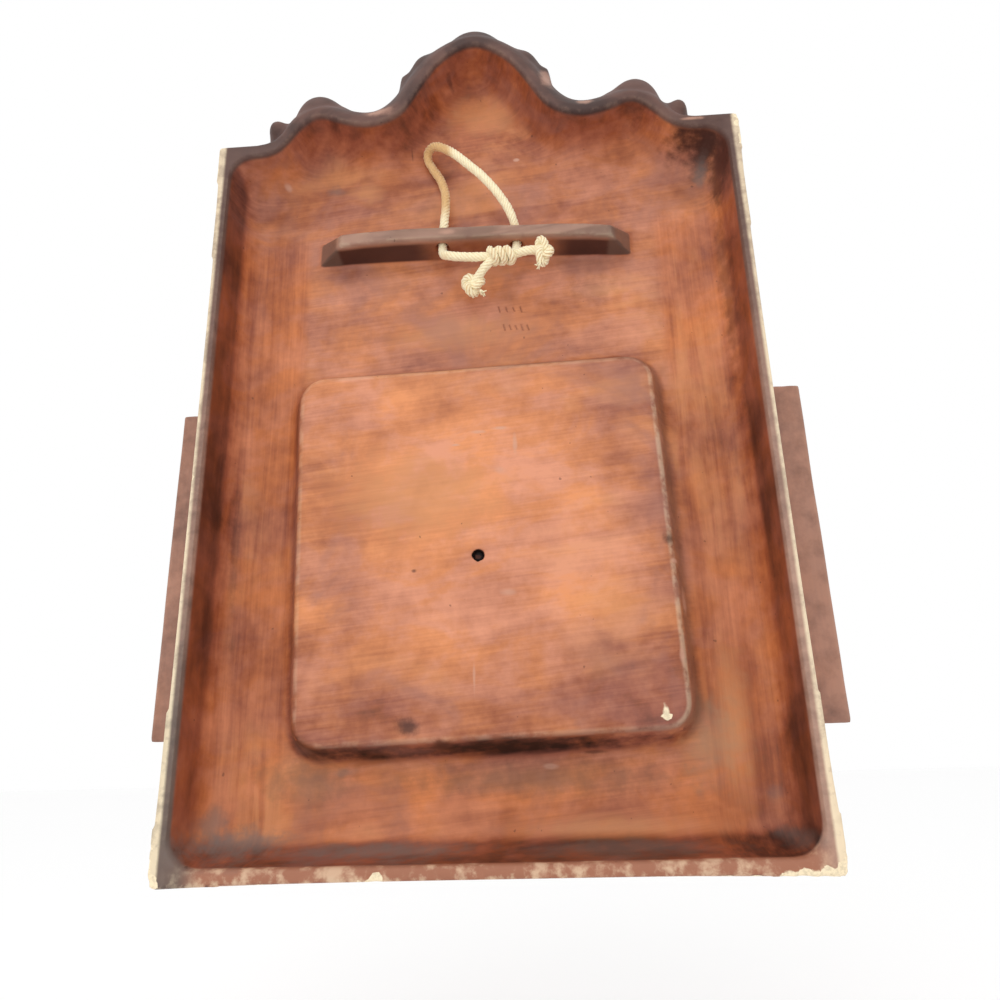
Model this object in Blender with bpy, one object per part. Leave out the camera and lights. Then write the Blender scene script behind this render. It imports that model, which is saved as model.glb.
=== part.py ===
"""Ceramic wall plaque seen from behind: a hollow casting and the cord that it hangs by.

Metres, +Z up. The open back lies on the wall, in the plane Y = 0, and the front faces -Y.
The origin is the middle of the flat rim along the bottom edge. Depths run from the wall
towards the front, and heights run up from the bottom edge of the casting.
"""

import math

import bmesh
import bpy
from mathutils import Matrix, Vector

# The casting: width and height of its rim, and the thickness of its walls there.
WIDTH = 0.290
SHOULDER_HEIGHT = 0.380
CREST_RISE = 0.0652
CREST_LEAN = 0.018
SIDE_RIM = 0.0070
BOTTOM_RIM = 0.0068
CREST_LIP = 0.0030
OUTER_CORNER = 0.0015
INNER_CORNER = 0.0130

# How far the outer edges bow inwards between the corners.
SIDE_BOW = 0.0026
BOTTOM_BOW = 0.0016

# Depths from the wall.
FLOOR_DEPTH = 0.0300
FRONT_DEPTH = 0.0365
BORDER_RAISE = 0.0040
BORDER_WIDTH = 0.0110

# The band that the crest spreads out to behind its carved edge, and the inset that each
# round of softening of the crest's line goes with.
CREST_FLARE = 0.0125
SOFTENING = 0.0030

# The crest's edge from its shoulder to its top, as shares of half the width and of its rise.
CREST_EDGE = (
    (0.772, 0.000), (0.724, 0.107), (0.679, 0.225), (0.604, 0.301),
    (0.513, 0.225), (0.414, 0.178), (0.330, 0.233), (0.292, 0.308),
    (0.230, 0.545), (0.171, 0.758), (0.086, 0.928), (0.000, 1.000),
)

# The raised panel on the back, which is the other side of the niche in the front.
BOSS_WIDTH = 0.1820
BOSS_HEIGHT = 0.1846
BOSS_CENTRE_X = 0.0017
BOSS_CENTRE_HEIGHT = 0.1484
BOSS_DEPTH = 0.0120
BOSS_CORNER = 0.0125
BOSS_SPREAD = 0.0085
BOSS_TURN_DEG = 1.4
NICHE_WALL = 0.0060
NICHE_DRAFT = 0.0040
HOLE_DIAMETER = 0.0060
HOLE_FLOOR = 0.0014
HOLE_HEIGHT = 0.1407
HOLE_X = 0.0033

# The bar that the cord runs through.
BAR_LENGTH = 0.1806
BAR_THICKNESS = 0.0156
BAR_RIDGE_LENGTH = 0.1487
BAR_RIDGE_THICKNESS = 0.0068
BAR_RIDGE_DEPTH = 0.0130
BAR_RIDGE_RISE = 0.0029
BAR_RIDGE_TILT = 0.0009
BAR_FOOT_SHIFT = 0.0019
BAR_FOOT_RISE = 0.0011
BAR_FOOT_TILT = 0.0008
BAR_CENTRE_X = 0.0040
BAR_RIDGE_CENTRE_X = 0.0019
BAR_HEIGHT = 0.3205
BAR_TURN_DEG = 0.8
CORD_DIAMETER = 0.0050
CORD_CLEARANCE = 0.00125
CORD_SPACING = 0.0413
CORD_DEPTH = 0.0212

# The open shutters, which stand out past both sides.
SHUTTER_REACH = 0.1675
SHUTTER_GAP = 0.0040
SHUTTER_LOW = 0.0595
SHUTTER_HEIGHT = 0.1725
SHUTTER_THICKNESS = 0.0060
PANEL_BORDER = 0.0120
PANEL_SINK = 0.0020

# The mouldings round the niche.
ARCHITRAVE_WIDTH = 0.0050
ARCHITRAVE_RAISE = 0.0035
SILL_HEIGHT = 0.0100
SILL_REACH = 0.0120
LINTEL_REACH = 0.0090

# How far joined solids run into each other, and the gap between a knot and a cut cord.
BITE = 0.0010
KNOT_GAP = 0.0008

HALF_WIDTH = WIDTH / 2
BASE = -BOTTOM_RIM / 2
BORE_RADIUS = CORD_DIAMETER / 2 + CORD_CLEARANCE
CORD_POINT_STEP = 1.5 * CORD_DIAMETER

# The knots: place in the row frame, and size along X, Y and Z.
MAIN_KNOT = ((-0.0100, -0.0125, 0.3028), (0.0165, 0.0115, 0.0110))
RIGHT_END_KNOT = ((-0.0351, -0.0080, 0.3010), (0.0110, 0.0100, 0.0180))
LEFT_END_KNOT = ((0.0041, -0.0200, 0.2905), (0.0140, 0.0100, 0.0140))

# The cord's route from the main knot up through the bar, round and back, and its two tails.
LOOP_ROUTE = (
    (-0.0050, -0.0125, 0.3029), (0.0010, -0.0125, 0.3030), (0.0077, -0.0130, 0.3038),
    (0.0142, -0.0142, 0.3055), (0.0188, -0.0168, 0.3083), (0.0205, -0.0205, 0.3125),
    (0.0207, -0.0212, 0.3180), (0.0204, -0.0212, 0.3250), (0.0195, -0.0208, 0.3340),
    (0.0188, -0.0210, 0.3440), (0.0193, -0.0224, 0.3540), (0.0222, -0.0244, 0.3645),
    (0.0266, -0.0262, 0.3738), (0.0296, -0.0262, 0.3803), (0.0293, -0.0235, 0.3838),
    (0.0262, -0.0198, 0.3842), (0.0220, -0.0168, 0.3815), (0.0170, -0.0149, 0.3772),
    (0.0106, -0.0140, 0.3712), (0.0036, -0.0142, 0.3641), (-0.0033, -0.0152, 0.3570),
    (-0.0091, -0.0165, 0.3500), (-0.0144, -0.0180, 0.3421), (-0.0180, -0.0193, 0.3345),
    (-0.0202, -0.0208, 0.3270), (-0.0207, -0.0212, 0.3200), (-0.0206, -0.0207, 0.3140),
    (-0.0203, -0.0188, 0.3098), (-0.0180, -0.0162, 0.3062), (-0.0100, -0.0135, 0.3028),
)
RIGHT_TAIL_ROUTE = (
    (-0.0120, -0.0125, 0.3028), (-0.0190, -0.0120, 0.3031), (-0.0251, -0.0100, 0.3031),
    (-0.0300, -0.0088, 0.3025), (-0.0351, -0.0080, 0.3010),
)
LEFT_TAIL_ROUTE = (
    (-0.0090, -0.0125, 0.3020), (-0.0054, -0.0130, 0.2990), (-0.0023, -0.0148, 0.2968),
    (0.0009, -0.0175, 0.2938), (0.0041, -0.0200, 0.2905),
)


def smooth_step(value, low, high):
    share = min(1.0, max(0.0, (value - low) / (high - low)))
    return share * share * (3 - 2 * share)


def hermite(points, x):
    """The smooth curve through points whose first value falls from one to the next."""
    last = len(points) - 1
    for i in range(last):
        (x0, y0), (x1, y1) = points[i], points[i + 1]
        if x <= x0 and (x >= x1 or i == last - 1):
            before = points[max(0, i - 1)]
            after = points[i + 2] if i + 2 <= last else (-points[i][0], points[i][1])
            slope0 = 0.0 if i == 0 else (y1 - before[1]) / (x1 - before[0])
            slope1 = (after[1] - y0) / (after[0] - x0)
            run = x1 - x0
            t = (x - x0) / run
            return (
                (2 * t**3 - 3 * t**2 + 1) * y0
                + (t**3 - 2 * t**2 + t) * run * slope0
                + (3 * t**2 - 2 * t**3) * y1
                + (t**3 - t**2) * run * slope1
            )
    return 0.0


def rim_z(x):
    """Height of the casting's upper edge above or below x, in the row frame."""
    share = min(abs(x) / HALF_WIDTH, CREST_EDGE[0][0])
    rise = hermite(CREST_EDGE, share)
    inside = smooth_step(abs(x) / HALF_WIDTH, CREST_EDGE[0][0], CREST_EDGE[1][0])
    return BASE + SHOULDER_HEIGHT + CREST_RISE * rise + CREST_LEAN * x * inside


def top_z(x, side, crest):
    """The upper edge moved inwards by side at the shoulders and by crest between them."""
    share = abs(x) / HALF_WIDTH
    inset = side + (crest - side) * smooth_step(share, CREST_EDGE[0][0] + 0.06, CREST_EDGE[1][0])
    reach = abs(inset)
    if reach < 1e-6:
        return rim_z(x)
    steps = [reach * (i / 12 - 1) for i in range(25)]
    if inset > 0:
        return min(rim_z(x + s) - math.sqrt(max(0.0, reach * reach - s * s)) for s in steps)
    return max(rim_z(x + s) + math.sqrt(max(0.0, reach * reach - s * s)) for s in steps)


def top_line(half, side, crest):
    """Points along the moved upper edge, with its folds softened where it has moved far."""
    line = [(share * half, top_z(share * half, side, crest)) for share in TOP_SHARES]
    for _ in range(round(abs(crest) / SOFTENING)):
        eased = [line[0]]
        for a, b, c in zip(line, line[1:], line[2:]):
            eased.append((b[0], (a[1] + 2 * b[1] + c[1]) / 4))
        line = [*eased, line[-1]]
    return line


def even_along_rim(count):
    """Shares of the half width, from -1 to 1, that part the upper edge into even lengths."""
    fine = [HALF_WIDTH * (i / 400 - 1) for i in range(801)]
    along = [0.0]
    for a, b in zip(fine, fine[1:]):
        along.append(along[-1] + math.hypot(b - a, rim_z(b) - rim_z(a)))
    shares = []
    j = 0
    for i in range(count + 1):
        target = along[-1] * i / count
        while j < 799 and along[j + 1] < target:
            j += 1
        t = (target - along[j]) / (along[j + 1] - along[j])
        shares.append((fine[j] + t * (fine[j + 1] - fine[j])) / HALF_WIDTH)
    return shares


TOP_SHARES = even_along_rim(84)


def bowed(x, z, half, low, high):
    """A point of a straight-sided outline after its sides and bottom edge have bowed in."""
    up = 2 * (z - low) / (high - low) - 1
    inwards = SIDE_BOW * max(0.0, 1 - up**4) * x / half
    lift = BOTTOM_BOW * max(0.0, 1 - (x / half)**4) * smooth_step(-up, 0.5, 1.0)
    return x - inwards, z + lift


def casting_ring(depth, side, bottom, crest, corner, outside=True):
    """One closed outline of the casting, moved inwards by side, bottom and crest."""
    half = HALF_WIDTH - side
    low = BASE + bottom
    high = BASE + SHOULDER_HEIGHT - side
    points = []

    def arc(cx, cz, start):
        for i in range(6):
            angle = math.radians(start + 90 * i / 5)
            points.append((cx + corner * math.cos(angle), cz + corner * math.sin(angle)))

    arc(half - corner, low + corner, -90)
    for i in range(1, 10):
        points.append((half, low + corner + (high - low - 2 * corner) * i / 10))
    arc(half - corner, high - corner, 0)
    points.extend(reversed(top_line(half - corner, side, crest)[1:-1]))
    arc(corner - half, high - corner, 90)
    for i in range(9, 0, -1):
        points.append((-half, low + corner + (high - low - 2 * corner) * i / 10))
    arc(corner - half, low + corner, 180)
    for i in range(1, 10):
        points.append(((half - corner) * (i / 5 - 1), low))
    if outside:
        points = [bowed(x, z, half, low, high) for x, z in points]
    return [Vector((x, -depth, z)) for x, z in points]


def loft(name, rings):
    """A closed solid through rings that all have the same number of points."""
    mesh = bmesh.new()
    loops = [[mesh.verts.new(p) for p in ring] for ring in rings]
    count = len(loops[0])
    for a, b in zip(loops, loops[1:]):
        for i in range(count):
            j = (i + 1) % count
            mesh.faces.new((a[i], a[j], b[j], b[i]))
    mesh.faces.new(list(reversed(loops[0])))
    mesh.faces.new(loops[-1])
    bmesh.ops.recalc_face_normals(mesh, faces=mesh.faces)
    return finish_mesh(name, mesh)


def finish_mesh(name, mesh):
    data = bpy.data.meshes.new(name)
    mesh.to_mesh(data)
    mesh.free()
    return bpy.data.objects.new(name, data)


def rounded_rectangle(depth, centre, width, height, corner, turn=0.0):
    """A rounded rectangle across the plaque at a depth, turned about its own centre."""
    points = []
    for sx, sz, start in ((1, -1, -90), (1, 1, 0), (-1, 1, 90), (-1, -1, 180)):
        for i in range(6):
            angle = math.radians(start + 18 * i)
            x = sx * (width / 2 - corner) + corner * math.cos(angle)
            z = sz * (height / 2 - corner) + corner * math.sin(angle)
            points.append((x, z))
    cos, sin = math.cos(turn), math.sin(turn)
    cx, cz = centre
    return [Vector((cx + x * cos - z * sin, -depth, cz + x * sin + z * cos)) for x, z in points]


def block(name, low, high, bevel=0.0):
    """A box between two corners, with its edges rounded."""
    mesh = bmesh.new()
    bmesh.ops.create_cube(mesh, size=1)
    size = [b - a for a, b in zip(low, high)]
    middle = [(a + b) / 2 for a, b in zip(low, high)]
    bmesh.ops.scale(mesh, vec=size, verts=mesh.verts)
    if bevel:
        bmesh.ops.bevel(
            mesh, geom=mesh.edges[:], offset=bevel, segments=2, profile=0.5,
            affect="EDGES", material=-1,
        )
    bmesh.ops.translate(mesh, vec=middle, verts=mesh.verts)
    return finish_mesh(name, mesh)


def egg(name, centre, radii, around=16, along=9, turn=0.0):
    """An ellipsoid, its poles along Y, turned about Y."""
    mesh = bmesh.new()
    bmesh.ops.create_uvsphere(mesh, u_segments=around, v_segments=along, radius=1)
    bmesh.ops.rotate(mesh, matrix=Matrix.Rotation(math.pi / 2, 3, "X"), verts=mesh.verts)
    bmesh.ops.scale(mesh, vec=radii, verts=mesh.verts)
    bmesh.ops.rotate(mesh, matrix=Matrix.Rotation(turn, 3, "Y"), verts=mesh.verts)
    bmesh.ops.translate(mesh, vec=centre, verts=mesh.verts)
    return finish_mesh(name, mesh)


def rod(name, centre, radius, length, axis, sides=20):
    """A round bar along an axis, for a hole."""
    mesh = bmesh.new()
    bmesh.ops.create_cone(
        mesh, cap_ends=True, segments=sides, radius1=radius, radius2=radius, depth=length
    )
    turn = Vector((0, 0, 1)).rotation_difference(Vector(axis)).to_matrix()
    bmesh.ops.rotate(mesh, matrix=turn, verts=mesh.verts)
    bmesh.ops.translate(mesh, vec=centre, verts=mesh.verts)
    return finish_mesh(name, mesh)


def make_material(name, colour, roughness):
    material = bpy.data.materials.new(name)
    material.use_nodes = True
    shader = material.node_tree.nodes["Principled BSDF"]
    shader.inputs["Base Color"].default_value = (*colour, 1)
    shader.inputs["Roughness"].default_value = roughness
    shader.inputs["Metallic"].default_value = 0.0
    return material


def body():
    """The outside of the casting as a solid, from its back rim round to its front."""
    flare = (
        (0.0, 0.0), (0.12, 0.0), (0.48, 0.0030), (0.80, 0.0070), (1.0, 0.0120),
        (1.0, FRONT_DEPTH - 0.0030),
    )
    rings = []
    for share, depth in flare[1:]:
        rings.append(casting_ring(depth, 0.0, 0.0, -CREST_FLARE * share, OUTER_CORNER))
    raised = FRONT_DEPTH + BORDER_RAISE
    front = (
        (FRONT_DEPTH, 0.0030), (raised, 0.0052), (raised, BORDER_WIDTH - 0.0020),
        (FRONT_DEPTH, BORDER_WIDTH),
    )
    for depth, inset in front:
        corner = OUTER_CORNER + inset / 2
        rings.append(casting_ring(depth, inset, inset, inset - CREST_FLARE, corner))
    return loft("plaque", rings)


def cavity():
    """The hollow in the back: steep walls that run into the floor in a cove."""
    walls = (
        (-2 * BITE, 0.0), (0.0, 0.0), (0.0015, 0.0006), (FLOOR_DEPTH - 0.0130, 0.0026),
        (FLOOR_DEPTH - 0.0065, 0.0050), (FLOOR_DEPTH - 0.0028, 0.0078),
        (FLOOR_DEPTH - 0.0006, 0.0110), (FLOOR_DEPTH, 0.0145),
    )
    rings = []
    for depth, inset in walls:
        rings.append(casting_ring(
            depth, SIDE_RIM + inset, BOTTOM_RIM + inset, CREST_LIP + inset, INNER_CORNER, False
        ))
    return loft("cavity", rings)


def boss_ring(depth, grow):
    return rounded_rectangle(
        depth, (BOSS_CENTRE_X, BASE + BOSS_CENTRE_HEIGHT), BOSS_WIDTH + 2 * grow,
        BOSS_HEIGHT + 2 * grow, BOSS_CORNER + grow, math.radians(-BOSS_TURN_DEG),
    )


def boss():
    """The raised panel, with a soft edge and a cove where it meets the floor."""
    fall = FLOOR_DEPTH - BOSS_DEPTH
    steps = (
        (BOSS_DEPTH, -0.0030), (BOSS_DEPTH + 0.0007, -0.0010), (BOSS_DEPTH + 0.0025, 0.0004),
        (BOSS_DEPTH + 0.45 * fall, 0.30 * BOSS_SPREAD),
        (BOSS_DEPTH + 0.78 * fall, 0.60 * BOSS_SPREAD),
        (FLOOR_DEPTH - 0.0008, BOSS_SPREAD),
        (FLOOR_DEPTH + BITE, BOSS_SPREAD + 0.0030),
    )
    return loft("boss", [boss_ring(depth, grow) for depth, grow in steps])


def bar():
    """The hanging bar: its ridge narrows towards the wall and bows up, with sloping ends."""
    mesh = bmesh.new()
    foot = BAR_THICKNESS / 2
    ridge = BAR_RIDGE_THICKNESS / 2
    sections = []
    for i in range(11):
        share = i / 5 - 1
        bow = 1 - share**4
        foot_x = BAR_CENTRE_X + share * BAR_LENGTH / 2
        ridge_x = BAR_RIDGE_CENTRE_X + share * BAR_RIDGE_LENGTH / 2
        low = BAR_FOOT_SHIFT + BAR_FOOT_RISE * bow + BAR_FOOT_TILT * share
        high = BAR_RIDGE_RISE * bow + BAR_RIDGE_TILT * share
        corners = (
            (foot_x, -FLOOR_DEPTH - BITE, low - foot), (foot_x, -FLOOR_DEPTH - BITE, low + foot),
            (ridge_x, -BAR_RIDGE_DEPTH, high + ridge), (ridge_x, -BAR_RIDGE_DEPTH, high - ridge),
        )
        sections.append([mesh.verts.new(p) for p in corners])
    for a, b in zip(sections, sections[1:]):
        for i in range(4):
            mesh.faces.new((a[i], a[i - 1], b[i - 1], b[i]))
    ends = [mesh.faces.new(sections[0]), mesh.faces.new(reversed(sections[-1]))]
    bmesh.ops.recalc_face_normals(mesh, faces=mesh.faces)
    long = [mesh.edges.get((a[i], b[i])) for a, b in zip(sections, sections[1:]) for i in range(4)]
    bmesh.ops.bevel(
        mesh, geom=[*long, *ends[0].edges, *ends[1].edges], offset=0.0009, segments=2,
        profile=0.5, affect="EDGES", material=-1,
    )
    turn = Matrix.Rotation(math.radians(-BAR_TURN_DEG), 3, "Y")
    bmesh.ops.rotate(mesh, matrix=turn, verts=mesh.verts)
    bmesh.ops.translate(mesh, vec=(0, 0, BASE + BAR_HEIGHT), verts=mesh.verts)
    return finish_mesh("bar", mesh)


def niche_half_width():
    return BOSS_WIDTH / 2 - NICHE_WALL


def shutter_inner_edge():
    return niche_half_width() + NICHE_DRAFT + ARCHITRAVE_WIDTH + SHUTTER_GAP


def crest_ornament():
    """The lobes of the carved crest: (x, height, half width, half height, depth, half depth)."""
    lobes = (
        (0.1147, 0.3955, 0.0080, 0.0080, 0.0150, 0.0105),
        (0.0915, 0.4030, 0.0170, 0.0200, 0.0170, 0.0140),
        (0.0780, 0.4030, 0.0085, 0.0105, 0.0170, 0.0120),
        (0.0270, 0.4335, 0.0135, 0.0145, 0.0170, 0.0135),
        (0.0000, 0.4435, 0.0215, 0.0210, 0.0170, 0.0150),
    )
    made = []
    for i, (x, height, rx, rz, depth, ry) in enumerate(lobes):
        for side in (1, -1):
            if side < 0 and x == 0:
                continue
            z = BASE + height + CREST_LEAN * side * x
            made.append(egg(f"lobe_{i}_{side}", (side * x, -depth, z), (rx, ry, rz)))
    for side in (1, -1):
        z = BASE + 0.4250 + CREST_LEAN * side * 0.042
        low = (side * 0.0405 - 0.0045, -0.0300, z - 0.0070)
        high = (side * 0.0405 + 0.0045, -0.0075, z + 0.0070)
        made.append(block(f"step_{side}", low, high, 0.0012))
    return made


def crest_shell():
    """A scallop shell in the middle of the crest's front, ribs fanned from its hinge."""
    hinge_z = BASE + 0.3900
    made = []
    for i in range(7):
        angle = math.radians(-66 + 22 * i)
        reach = 0.0260 - 0.0040 * abs(i - 3) / 3
        x = math.sin(angle) * reach
        z = hinge_z + math.cos(angle) * reach
        made.append(egg(
            f"rib_{i}", (x, -FRONT_DEPTH, z), (0.0062, 0.0075, 0.0185), 10, 7, angle
        ))
    made.append(egg("hinge", (0, -FRONT_DEPTH, hinge_z), (0.0120, 0.0080, 0.0070), 12, 7))
    for side in (1, -1):
        centre = (side * 0.0800, -FRONT_DEPTH, BASE + 0.3850)
        made.append(egg(f"volute_{side}", centre, (0.0150, 0.0070, 0.0150), 20, 9))
        centre = (side * 0.0800, -FRONT_DEPTH - 0.0045, BASE + 0.3850)
        made.append(egg(f"eye_{side}", centre, (0.0060, 0.0050, 0.0060), 12, 7))
    return made


def front_mouldings():
    """The architrave round the niche, with its sill and lintel, and the open shutters."""
    half = niche_half_width() + NICHE_DRAFT + ARCHITRAVE_WIDTH
    centre_z = BASE + BOSS_CENTRE_HEIGHT
    half_height = BOSS_HEIGHT / 2 - NICHE_WALL + NICHE_DRAFT + ARCHITRAVE_WIDTH
    back = -FRONT_DEPTH + BITE
    face = -FRONT_DEPTH - ARCHITRAVE_RAISE
    made = [block(
        "architrave", (BOSS_CENTRE_X - half, face, centre_z - half_height),
        (BOSS_CENTRE_X + half, back, centre_z + half_height), 0.0008,
    )]
    bottom = centre_z - half_height - SILL_HEIGHT + 0.0020
    made.append(block(
        "sill", (BOSS_CENTRE_X - half - SILL_REACH / 2, face - SILL_REACH / 2, bottom),
        (BOSS_CENTRE_X + half + SILL_REACH / 2, back, bottom + SILL_HEIGHT), 0.0015,
    ))
    top = centre_z + half_height - 0.0020
    made.append(block(
        "lintel", (BOSS_CENTRE_X - half - LINTEL_REACH / 2, face - LINTEL_REACH / 2, top),
        (BOSS_CENTRE_X + half + LINTEL_REACH / 2, back, top + SILL_HEIGHT), 0.0015,
    ))
    for side in (1, -1):
        xs = sorted((side * shutter_inner_edge(), side * SHUTTER_REACH))
        low = (xs[0], -FRONT_DEPTH - SHUTTER_THICKNESS, BASE + SHUTTER_LOW)
        high = (xs[1], -FRONT_DEPTH + BITE / 2, BASE + SHUTTER_LOW + SHUTTER_HEIGHT)
        made.append(block(f"shutter_{side}", low, high, 0.0010))
    return made


def cuts():
    """The niche, the blind hole behind it, the two cord holes and the shutters' sunk panels."""
    centre = (BOSS_CENTRE_X, BASE + BOSS_CENTRE_HEIGHT)
    bottom = BOSS_DEPTH + NICHE_WALL
    mouth = FRONT_DEPTH + ARCHITRAVE_RAISE + 2 * BITE
    steps = ((bottom, -0.0015), (bottom + 0.0015, 0.0), (mouth, NICHE_DRAFT))
    rings = []
    for depth, grow in steps:
        rings.append(rounded_rectangle(
            depth, centre, 2 * (niche_half_width() + grow),
            BOSS_HEIGHT - 2 * NICHE_WALL + 2 * grow, BOSS_CORNER - NICHE_WALL / 2 + grow,
        ))
    made = [loft("niche", rings)]
    made.append(rod(
        "hole", (HOLE_X, HOLE_FLOOR - BOSS_DEPTH, BASE + HOLE_HEIGHT),
        HOLE_DIAMETER / 2, 2 * NICHE_WALL, (0, 1, 0),
    ))
    for side in (1, -1):
        made.append(rod(
            f"cord_hole_{side}", (side * CORD_SPACING / 2, -CORD_DEPTH, BASE + BAR_HEIGHT),
            BORE_RADIUS, 2 * BAR_THICKNESS, (0, 0, 1), 16,
        ))
    panel_height = (SHUTTER_HEIGHT - 3 * PANEL_BORDER) / 2
    face = -FRONT_DEPTH - SHUTTER_THICKNESS
    for side in (1, -1):
        xs = sorted((
            side * (shutter_inner_edge() + PANEL_BORDER), side * (SHUTTER_REACH - PANEL_BORDER)
        ))
        for i in range(2):
            z = BASE + SHUTTER_LOW + PANEL_BORDER + i * (panel_height + PANEL_BORDER)
            low = (xs[0], face - BITE, z)
            high = (xs[1], face + PANEL_SINK, z + panel_height)
            made.append(block(f"panel_{side}_{i}", low, high))
    return made


def in_knot(place, along, knot):
    """Whether a cord's round section, at a place and square to along, reaches into a knot."""
    centre, size = knot
    across = along.orthogonal().normalized()
    other = along.cross(across).normalized()
    for i in range(12):
        angle = math.tau * i / 12
        rim = place + CORD_DIAMETER / 2 * (across * math.cos(angle) + other * math.sin(angle))
        if sum(((rim[k] - centre[k]) / (size[k] / 2 + KNOT_GAP)) ** 2 for k in range(3)) < 1:
            return True
    return False


def smooth_route(route):
    """Close points on the smooth curve through a route's own points."""
    fine = []
    ends = [route[0], *route, route[-1]]
    for a, b, c, d in zip(ends, ends[1:], ends[2:], ends[3:]):
        a, b, c, d = (Vector(p) for p in (a, b, c, d))
        for i in range(16):
            t = i / 16
            fine.append(0.5 * (
                2 * b + (c - a) * t + (2 * a - 5 * b + 4 * c - d) * t * t
                + (3 * b - a - 3 * c + d) * t**3
            ))
    fine.append(Vector(route[-1]))
    return fine


def between_knots(fine, knots):
    """The stretch of a smooth route that is clear of the knots at its ends."""
    kept = []
    for i, place in enumerate(fine[:-1]):
        along = fine[i + 1] - place
        if not any(in_knot(place, along, knot) for knot in knots):
            kept.append(place)
    return kept


def evenly(fine, step):
    """Points about step apart along a fine line."""
    along = [0.0]
    for p, q in zip(fine, fine[1:]):
        along.append(along[-1] + (q - p).length)
    count = max(2, round(along[-1] / step))
    points = []
    j = 0
    for i in range(count + 1):
        target = along[-1] * i / count
        while j < len(fine) - 2 and along[j + 1] < target:
            j += 1
        t = (target - along[j]) / max(1e-9, along[j + 1] - along[j])
        points.append(fine[j].lerp(fine[j + 1], t))
    return points


def cord_tube(name, route, knots):
    data = bpy.data.curves.new(name, "CURVE")
    data.dimensions = "3D"
    data.bevel_depth = CORD_DIAMETER / 2
    data.bevel_resolution = 2
    data.use_fill_caps = True
    points = evenly(between_knots(smooth_route(route), knots), CORD_POINT_STEP)
    spline = data.splines.new("POLY")
    spline.points.add(len(points) - 1)
    for point, place in zip(spline.points, points):
        point.co = (*place, 1)
    return bpy.data.objects.new(name, data)


def cord_knot(name, knot):
    centre, size = knot
    return egg(name, centre, [s / 2 for s in size], 12, 8)


def main():
    for old in list(bpy.data.objects):
        bpy.data.objects.remove(old)
    groups = {}
    for name in ("wall_plaque", "front_forms", "back_hollow", "back_forms", "openings"):
        groups[name] = bpy.data.collections.new(name)
        bpy.context.scene.collection.children.link(groups[name])

    stain = make_material("stained_ceramic", (0.33, 0.13, 0.075), 0.45)
    cotton = make_material("cotton_cord", (0.80, 0.70, 0.48), 0.90)

    plaque = body()
    plaque.data.materials.append(stain)
    groups["wall_plaque"].objects.link(plaque)
    steps = (
        ("front_forms", "UNION", [*front_mouldings(), *crest_ornament(), *crest_shell()]),
        ("back_hollow", "DIFFERENCE", [cavity()]),
        ("back_forms", "UNION", [boss(), bar()]),
        ("openings", "DIFFERENCE", cuts()),
    )
    for group, operation, pieces in steps:
        for piece in pieces:
            piece.hide_render = True
            piece.display_type = "WIRE"
            groups[group].objects.link(piece)
        joint = plaque.modifiers.new(group, "BOOLEAN")
        joint.operand_type = "COLLECTION"
        joint.collection = groups[group]
        joint.operation = operation
        joint.solver = "EXACT"

    cord = [
        cord_tube("cord_loop", LOOP_ROUTE, [MAIN_KNOT]),
        cord_tube("cord_tail_right", RIGHT_TAIL_ROUTE, [MAIN_KNOT, RIGHT_END_KNOT]),
        cord_tube("cord_tail_left", LEFT_TAIL_ROUTE, [MAIN_KNOT, LEFT_END_KNOT]),
        cord_knot("cord_main_knot", MAIN_KNOT),
        cord_knot("cord_end_knot_right", RIGHT_END_KNOT),
        cord_knot("cord_end_knot_left", LEFT_END_KNOT),
    ]
    for piece in cord:
        piece.data.materials.append(cotton)
        groups["wall_plaque"].objects.link(piece)


main()
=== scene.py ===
"""Looks for the ceramic wall plaque: the stained casting, its twisted cord and the studio.

Everything is in metres in the frame's own axes: +Z up the wall, the open back towards +Y.
"""

import math

import bmesh
import bpy
import numpy as np
from bpy.props import FloatProperty, FloatVectorProperty, IntProperty, PointerProperty
from mathutils import Matrix, Vector


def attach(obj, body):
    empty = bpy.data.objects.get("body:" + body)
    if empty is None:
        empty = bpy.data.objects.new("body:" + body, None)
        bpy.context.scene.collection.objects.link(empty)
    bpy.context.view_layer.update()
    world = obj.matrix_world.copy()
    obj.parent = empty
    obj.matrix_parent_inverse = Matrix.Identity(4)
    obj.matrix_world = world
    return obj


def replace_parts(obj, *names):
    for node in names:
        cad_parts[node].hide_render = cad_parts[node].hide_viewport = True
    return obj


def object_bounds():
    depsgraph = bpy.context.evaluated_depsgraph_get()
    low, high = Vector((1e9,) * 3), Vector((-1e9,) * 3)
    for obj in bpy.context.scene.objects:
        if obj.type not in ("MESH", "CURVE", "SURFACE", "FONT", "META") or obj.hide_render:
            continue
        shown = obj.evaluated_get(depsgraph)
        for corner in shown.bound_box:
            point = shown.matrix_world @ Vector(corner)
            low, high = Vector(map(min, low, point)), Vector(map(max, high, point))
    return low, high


bl_info = {
    "name": "Wall Plaque",
    "version": (1, 0, 0),
    "blender": (4, 5, 0),
    "location": "3D View > Sidebar > Wall Plaque",
    "description": "Builds a hollow-backed ceramic wall plaque with its hanging cord",
    "category": "Object",
}

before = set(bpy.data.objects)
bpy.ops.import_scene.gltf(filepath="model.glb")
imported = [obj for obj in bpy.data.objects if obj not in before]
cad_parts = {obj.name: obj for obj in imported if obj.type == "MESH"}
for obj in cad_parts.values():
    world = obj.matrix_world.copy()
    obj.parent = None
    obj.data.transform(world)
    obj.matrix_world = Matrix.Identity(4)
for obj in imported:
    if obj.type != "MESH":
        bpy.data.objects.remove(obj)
CAD_BOX = [list(corner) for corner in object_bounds()]

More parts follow.
